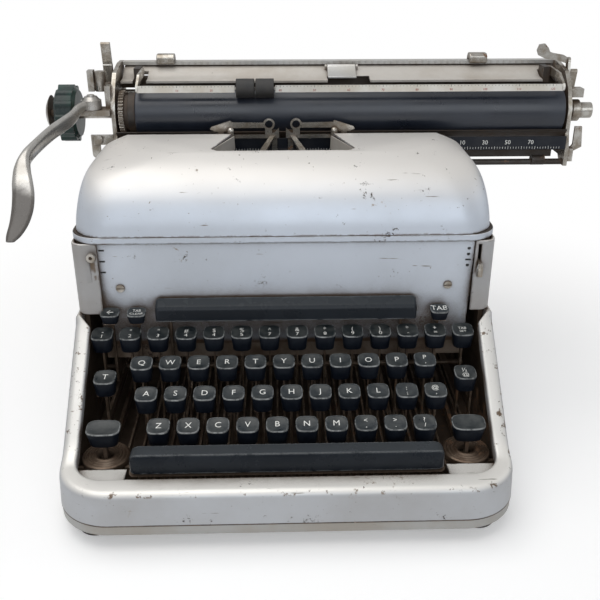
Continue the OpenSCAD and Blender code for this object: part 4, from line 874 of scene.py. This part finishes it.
# bars: each end rounds off by its stations' reach and the share the section loses there
bars = {
    "space_bar": {"profile": [(18.6, 42), (18.2, 51), (20, 55), (30.4, 55), (31.2, 53), (31.2, 42)],
        "from": -97.6, "to": 97.6, "cut": 40.2, "stems": (-70.4, 72.4), "stemY": (21, 29), "stemZ": (39.5, 44),
        "ease": 1.1, "ends": [(0, 0.62), (0.5, 0.38), (1.5, 0.18), (3.2, 0.05), (5.5, 0)]},
    "tab_bar": {"profile": [(107.2, 102.4), (107, 111), (108.4, 113.4), (114.8, 117),
        (116.4, 116), (116.4, 102.4)], "from": -88.6, "to": 90.4, "cut": 99.4, "stems": (-79.4, 80.6),
        "stemY": (114.3, 116.3), "stemZ": (99, 104), "ease": 0.8,
        "ends": [(0, 0.4), (0.4, 0.2), (1.2, 0.07), (2.4, 0)]},
}
barShape = {"stem": 3, "smooth": 60, "angle": 30, "segments": 3}


def makeBar(node, bar):
    ring = [(fromFront(y), z) for y, z in bar["profile"]]
    middle, foot = (ring[0][0] + ring[-1][0]) / 2, ring[0][1]
    stations = [(bar["from"] + reach, 1 - less) for reach, less in bar["ends"]]
    stations += [(bar["to"] - reach, 1 - less) for reach, less in reversed(bar["ends"])]
    mesh = ringSkin([[(x, middle + (y - middle) * share, foot + (z - foot) * (0.5 + share / 2)) for y, z in ring]
        for x, share in stations])
    shape = shapeOf(mesh)
    (front, back), (low, high) = bar["stemY"], bar["stemZ"]
    for x in bar["stems"]:
        size = (barShape["stem"], back - front, high - low)
        addBox(shape, (x, fromFront((front + back) / 2), (low + high) / 2), size)
    piece = newPiece(node + "Top", meshOf(shape, mesh), "barPlastic", bodyOf[node])
    smoothen(mesh, barShape["smooth"])
    ease(piece, bar["ease"], barShape["angle"], barShape["segments"])
    applyModifiers(piece)
    leverBelow(node, bar["cut"])


for node, bar in bars.items():
    makeBar(node, bar)

# return lever: a cast arm that turns into a paddle; a station is a centre and the half sizes across, in depth
# and up, a disc is two radii and two heights
returnLever = {"stations": [(-144, 219, 228, 3.4, 0, 2.6), (-149, 210, 226, 2.9, 0, 3.6),
    (-151.6, 200, 222.2, 2.6, 0, 4.9), (-155.4, 187, 220, 2.5, 0, 5.2), (-160.2, 170, 217.8, 2.5, 0, 5.1),
    (-164.6, 150, 214.4, 2.6, 0, 5), (-168, 134, 210.6, 3.4, 0.4, 4.8), (-168.4, 124, 206, 5.2, 1.2, 3.4),
    (-166.8, 115, 199.6, 6.6, 1.5, 2), (-165.2, 108, 193.4, 7, 1.5, 1.5), (-164.4, 100, 186.6, 6.9, 1.5, 1.4),
    (-165.2, 92, 179.8, 6.1, 1.4, 1.3), (-167.2, 85, 174.6, 4.7, 1.2, 1.1), (-168.8, 81, 171.8, 2.6, 0.8, 0.8)],
    "around": 24, "square": 2.5, "steps": 5, "hub": (-142, 222), "hubAround": 48, "smooth": 50,
    "discs": [(7.5, 7.5, 224, 230.4), (6.6, 4.6, 230.4, 233), (3, 2.7, 233, 234.2)]}


def makeReturnLever():
    outline = capOutline(1, 1, returnLever["around"], returnLever["square"])
    shape = shapeOf(ringSkin([[(x + u * across, fromFront(y) - v * deep, z + v * up) for u, v in outline]
        for x, y, z, across, deep, up in curveThrough(returnLever["stations"], returnLever["steps"])]))
    x, y = returnLever["hub"]
    for wide, narrow, low, high in returnLever["discs"]:
        place = Matrix.Translation(metres((x, fromFront(y), (low + high) / 2)))
        bmesh.ops.create_cone(shape, cap_ends=True, segments=returnLever["hubAround"], radius1=wide / 1000,
            radius2=narrow / 1000, depth=(high - low) / 1000, matrix=place)
    mesh = meshOf(shape, "returnLever")
    smoothen(mesh, returnLever["smooth"])
    newPiece("returnLeverCast", mesh, "polishedNickel", bodyOf["return_lever"], ["return_lever"])


makeReturnLever()

# everything else keeps its CAD shape, with edges eased by this many millimetres, or as it is
easedFinish = {
    "base_frame": ("baseLip", 0.8), "rubber_feet": ("blackRubber", 0.6), "rear_housing": ("housingPaint", 0.7),
    "front_panel": ("panelPaint", 0.4), "panel_screws": ("wornNickel", 0.2), "trim_band": ("silverPaint", 0.8),
    "type_guide": ("wornNickel", 0.2), "ribbon_vibrator": ("wornNickel", 0.1), "touch_control": ("wornNickel", 0.3),
    "ribbon_selector": ("wornNickel", 0.4), "carriage_frame": ("wornNickel", 0.4),
    "platen_shaft": ("wornNickel", 0.3), "platen_knob": ("greenKnob", 1), "variable_button": ("wornNickel", 0.6),
    "paper_table": ("tablePaint", 0.5), "margin_rail": ("trimMetal", 0.1), "margin_stop_left": ("wornNickel", 0.8),
    "margin_stop_right": ("wornNickel", 0.8), "paper_support": ("trimMetal", 0.4), "paper_bail": ("wornNickel", 0.3),
    "bail_rollers": ("blackRubber", 0.6), "release_lever": ("wornNickel", 0.5),
    "carriage_releases": ("wornNickel", 0.4), "front_scale": ("scaleBlack", 0.2), "platen": ("platenRubber", 0.8),
    "corner_dishes": ("dishBrown", 0.3), "carriage_rails": ("trimMetal", 0.4), "shift_bail": ("tarnishedLever", 0.3),
    "spool_cups": ("darkSteel", 0.3), "spool_left": ("darkSteel", 0.2), "spool_right": ("darkSteel", 0.2),
    "bell": ("oldBrass", 0.6), "mainspring_drum": ("darkSteel", 0.4), "escapement_wheel": ("oldBrass", 0.1),
}
plainFinish = {
    "frameSteel": ["side_frames"], "ribbonCloth": ["ribbon"], "darkSteel": ["segment"],
    "tarnishedLever": ["pivot_rods", "key_comb", "typebars", "typebar_g", "number_levers", "upper_letter_levers",
        "middle_letter_levers", "lower_letter_levers"],
}
for node, (finish, width) in easedFinish.items():
    easedNode(node, finish, width)
for finish, nodes in plainFinish.items():
    for node in nodes:
        materials = frame["nodes"][node].data.materials
        materials.clear()
        materials.append(finishes[finish])


# a point of an eased copy in the drawing's millimetres
def inDrawing(point):
    return point.x * 1000 + middleX, point.y * 1000 + depth / 2, point.z * 1000


# gives the faces of an eased copy that pass a test another finish
def refinish(node, finish, test):
    mesh = bpy.data.objects[node + "Eased"].data
    mesh.materials.append(finishes[finish])
    for face in mesh.polygons:
        if test(*inDrawing(face.center), face.normal):
            face.material_index = len(mesh.materials) - 1


refinish("base_frame", "frameSteel", lambda x, y, z, n: n.z > 0.5 and abs(x) < 141 and 3 < y < 327)
refinish("platen_shaft", "darkSteel", lambda x, y, z, n: -119.2 < x < -110.2)
refinish("carriage_frame", "darkSteel", lambda x, y, z, n: -124.6 < x < 216.6)
refinish("paper_bail", "scaleWhite", lambda x, y, z, n: n.y < -0.5 and -112 < x < 212 and y < 219)
# the trim band's upward faces in dark steel: painted shade under the cover's edge
refinish("trim_band", "darkSteel", lambda x, y, z, n: n.z > 0.9)

# the left column's inner edge, slot and knob, moved to where the photograph has them
leftEdge = {"across": 3.5, "slot": 2.0, "knob": 3.2, "column": 3.4, "lip": 0.8}


def shiftPoints(node, move, test):
    for v in bpy.data.objects[node + "Eased"].data.vertices:
        if test(*inDrawing(v.co)):
            v.co += Vector(metres(move))


def onColumn(x):
    return -128.6 < x < -127.2


shiftPoints("rear_housing", (leftEdge["across"], 0, leftEdge["slot"]),
    lambda x, y, z: -132.6 < x < -129.4 and y < 115 and 129 < z < 149)
shiftPoints("rear_housing", (leftEdge["column"], 0, 0), lambda x, y, z: onColumn(x) and y < 112.8)
shiftPoints("rear_housing", (leftEdge["column"], -leftEdge["lip"], 0),
    lambda x, y, z: onColumn(x) and 112.8 <= y < 115)
shiftPoints("touch_control", (leftEdge["across"], 0, leftEdge["knob"]), lambda x, y, z: True)
print("nodes finished")


# scales: ticks by Geometry Nodes, figures as flat text
def buildTickRow():
    tree = bpy.data.node_groups.new("tickRow", "GeometryNodeTree")
    sockets = {"Count": "Int", "Start": "Vector", "Step": "Vector", "Size": "Vector", "Every": "Int", "Tall": "Float",
        "Material": "Material"}
    for name, kind in sockets.items():
        addSocket(tree, name, kind)
    addSocket(tree, "Geometry", "Geometry", "OUTPUT")
    given = tree.nodes.new("NodeGroupInput").outputs
    line = wire(tree, "GeometryNodeMeshLine", mode="OFFSET", Count=given["Count"], Offset=given["Step"],
        **{"Start Location": given["Start"]})
    cube = wire(tree, "GeometryNodeMeshCube", Size=given["Size"], take="Mesh")
    index = wire(tree, "GeometryNodeInputIndex")
    tall = mathNode(tree, "LESS_THAN", mathNode(tree, "MODULO", index, given["Every"]), 0.5)
    scale = wire(tree, "CombineXYZ", 1.0, 1.0, smoothMap(tree, tall, 0, 1, 1.0, given["Tall"]))
    place = wire(tree, "GeometryNodeInstanceOnPoints", Points=line, Instance=cube, Scale=scale)
    real = wire(tree, "GeometryNodeRealizeInstances", place)
    cover = wire(tree, "GeometryNodeSetMaterial", Geometry=real, Material=given["Material"])
    feed(tree.nodes.new("NodeGroupOutput").inputs["Geometry"], cover)
    return tree


tickRow = buildTickRow()
upright = Matrix.Rotation(radians(90), 4, "X")


bailScale = {"y": fromFront(217.65), "first": -103, "last": 208, "step": 2.54, "figure": 2.3, "figureZ": 237.4,
    "tickZ": 240.3, "tick": (0.22, 0.1, 0.7), "every": 10, "tall": 2.2}
frontScale = {"y": fromFront(216.25), "figure": 4.6, "figureZ": 197.6,
    "numbers": {10: 137, 30: 154.4, 50: 171.9, 70: 189.6}, "first": -118, "step": 2.075, "count": 160,
    "tickZ": 193.5, "tick": (0.25, 0.1, 1.4), "every": 5, "tall": 1.6}


def makeTicks(name, body, finish, scale, count):
    holder = newObject(name, bpy.data.meshes.new(name))
    modifier = holder.modifiers.new("ticks", "NODES")
    modifier.node_group = tickRow
    values = {"Count": count, "Start": metres((scale["first"], scale["y"], scale["tickZ"])),
        "Step": metres((scale["step"], 0, 0)), "Size": metres(scale["tick"]), "Every": scale["every"],
        "Tall": scale["tall"], "Material": finishes[finish]}
    for item in tickRow.interface.items_tree:
        if item.in_out == "INPUT":
            modifier[item.identifier] = values[item.name]
    bpy.context.view_layer.update()
    mesh = evaluatedMesh(holder)
    bpy.data.objects.remove(holder)
    newPiece(name, mesh, None, body)


def makeFigures(name, body, finish, scale, places):
    shape = bmesh.new()
    for number, x in places.items():
        mesh = textMesh(str(number), scale["figure"], 2)
        mesh.transform(Matrix.Translation(metres((x, scale["y"], scale["figureZ"]))) @ upright)
        mergeInto(shape, mesh)
    newPiece(name, meshOf(shape, name), finish, body)


def makeScales():
    first, step, every = bailScale["first"], bailScale["step"], bailScale["every"]
    count = int((bailScale["last"] - first) / step)
    makeTicks("bailTicks", "bail", "scaleBlack", bailScale, count)
    places = {i: first + i * step for i in range(every, count, every)}
    makeFigures("bailFigures", "bail", "scaleRed", bailScale, places)
    makeFigures("frontFigures", "carriage", "legendWhite", frontScale, frontScale["numbers"])
    makeTicks("frontTicks", "carriage", "legendWhite", frontScale, frontScale["count"])


makeScales()

# the panel's painted marks lie on its slope from top to foot, and its lip is rusty
panel = {"top": (113.4, 157.3), "foot": (121.2, 78.4), "dash": (3.6, 0.2, 1.1), "dot": 1.1, "proud": 0.05,
    "dashes": [(-121.6, 152.6), (-121.9, 144.4), (-122.2, 136.2), (124, 143.1)],
    "dots": [(123.9, 151.7), (123.9, 147.4), (124, 139)], "lip": {"y": 122.05, "z": 72.85, "size": (254, 0.9, 10.7)}}


def makePanelMarks():
    (y0, z0), (y1, z1) = panel["top"], panel["foot"]
    slope = (y1 - y0) / (z0 - z1)
    lean = Matrix.Rotation(-atan(slope), 4, "X")
    shape = bmesh.new()

    def onPanel(x, z):
        return Matrix.Translation(metres((x, fromFront(y0 + (z0 - z) * slope) - panel["proud"], z))) @ lean

    for x, z in panel["dashes"]:
        size = Matrix.Diagonal((*metres(panel["dash"]), 1))
        bmesh.ops.create_cube(shape, size=1, matrix=onPanel(x, z) @ size)
    for x, z in panel["dots"]:
        radius, thick = panel["dot"] / 1000, panel["dash"][1] / 1000
        bmesh.ops.create_cone(shape, cap_ends=True, segments=20, radius1=radius, radius2=radius, depth=thick,
            matrix=onPanel(x, z) @ upright)
    newPiece("panelMarks", meshOf(shape, "panelMarks"), "paintMark", "base")
    lip = bmesh.new()
    addBox(lip, (0, fromFront(panel["lip"]["y"]), panel["lip"]["z"]), panel["lip"]["size"])
    newPiece("panelLip", meshOf(lip, "panelLip"), "rustyPlate", "base")


makePanelMarks()
print("scales made")

for piece in drawn:
    piece.data.transform(Matrix.Translation((-middleX / 1000, 0, 0)))
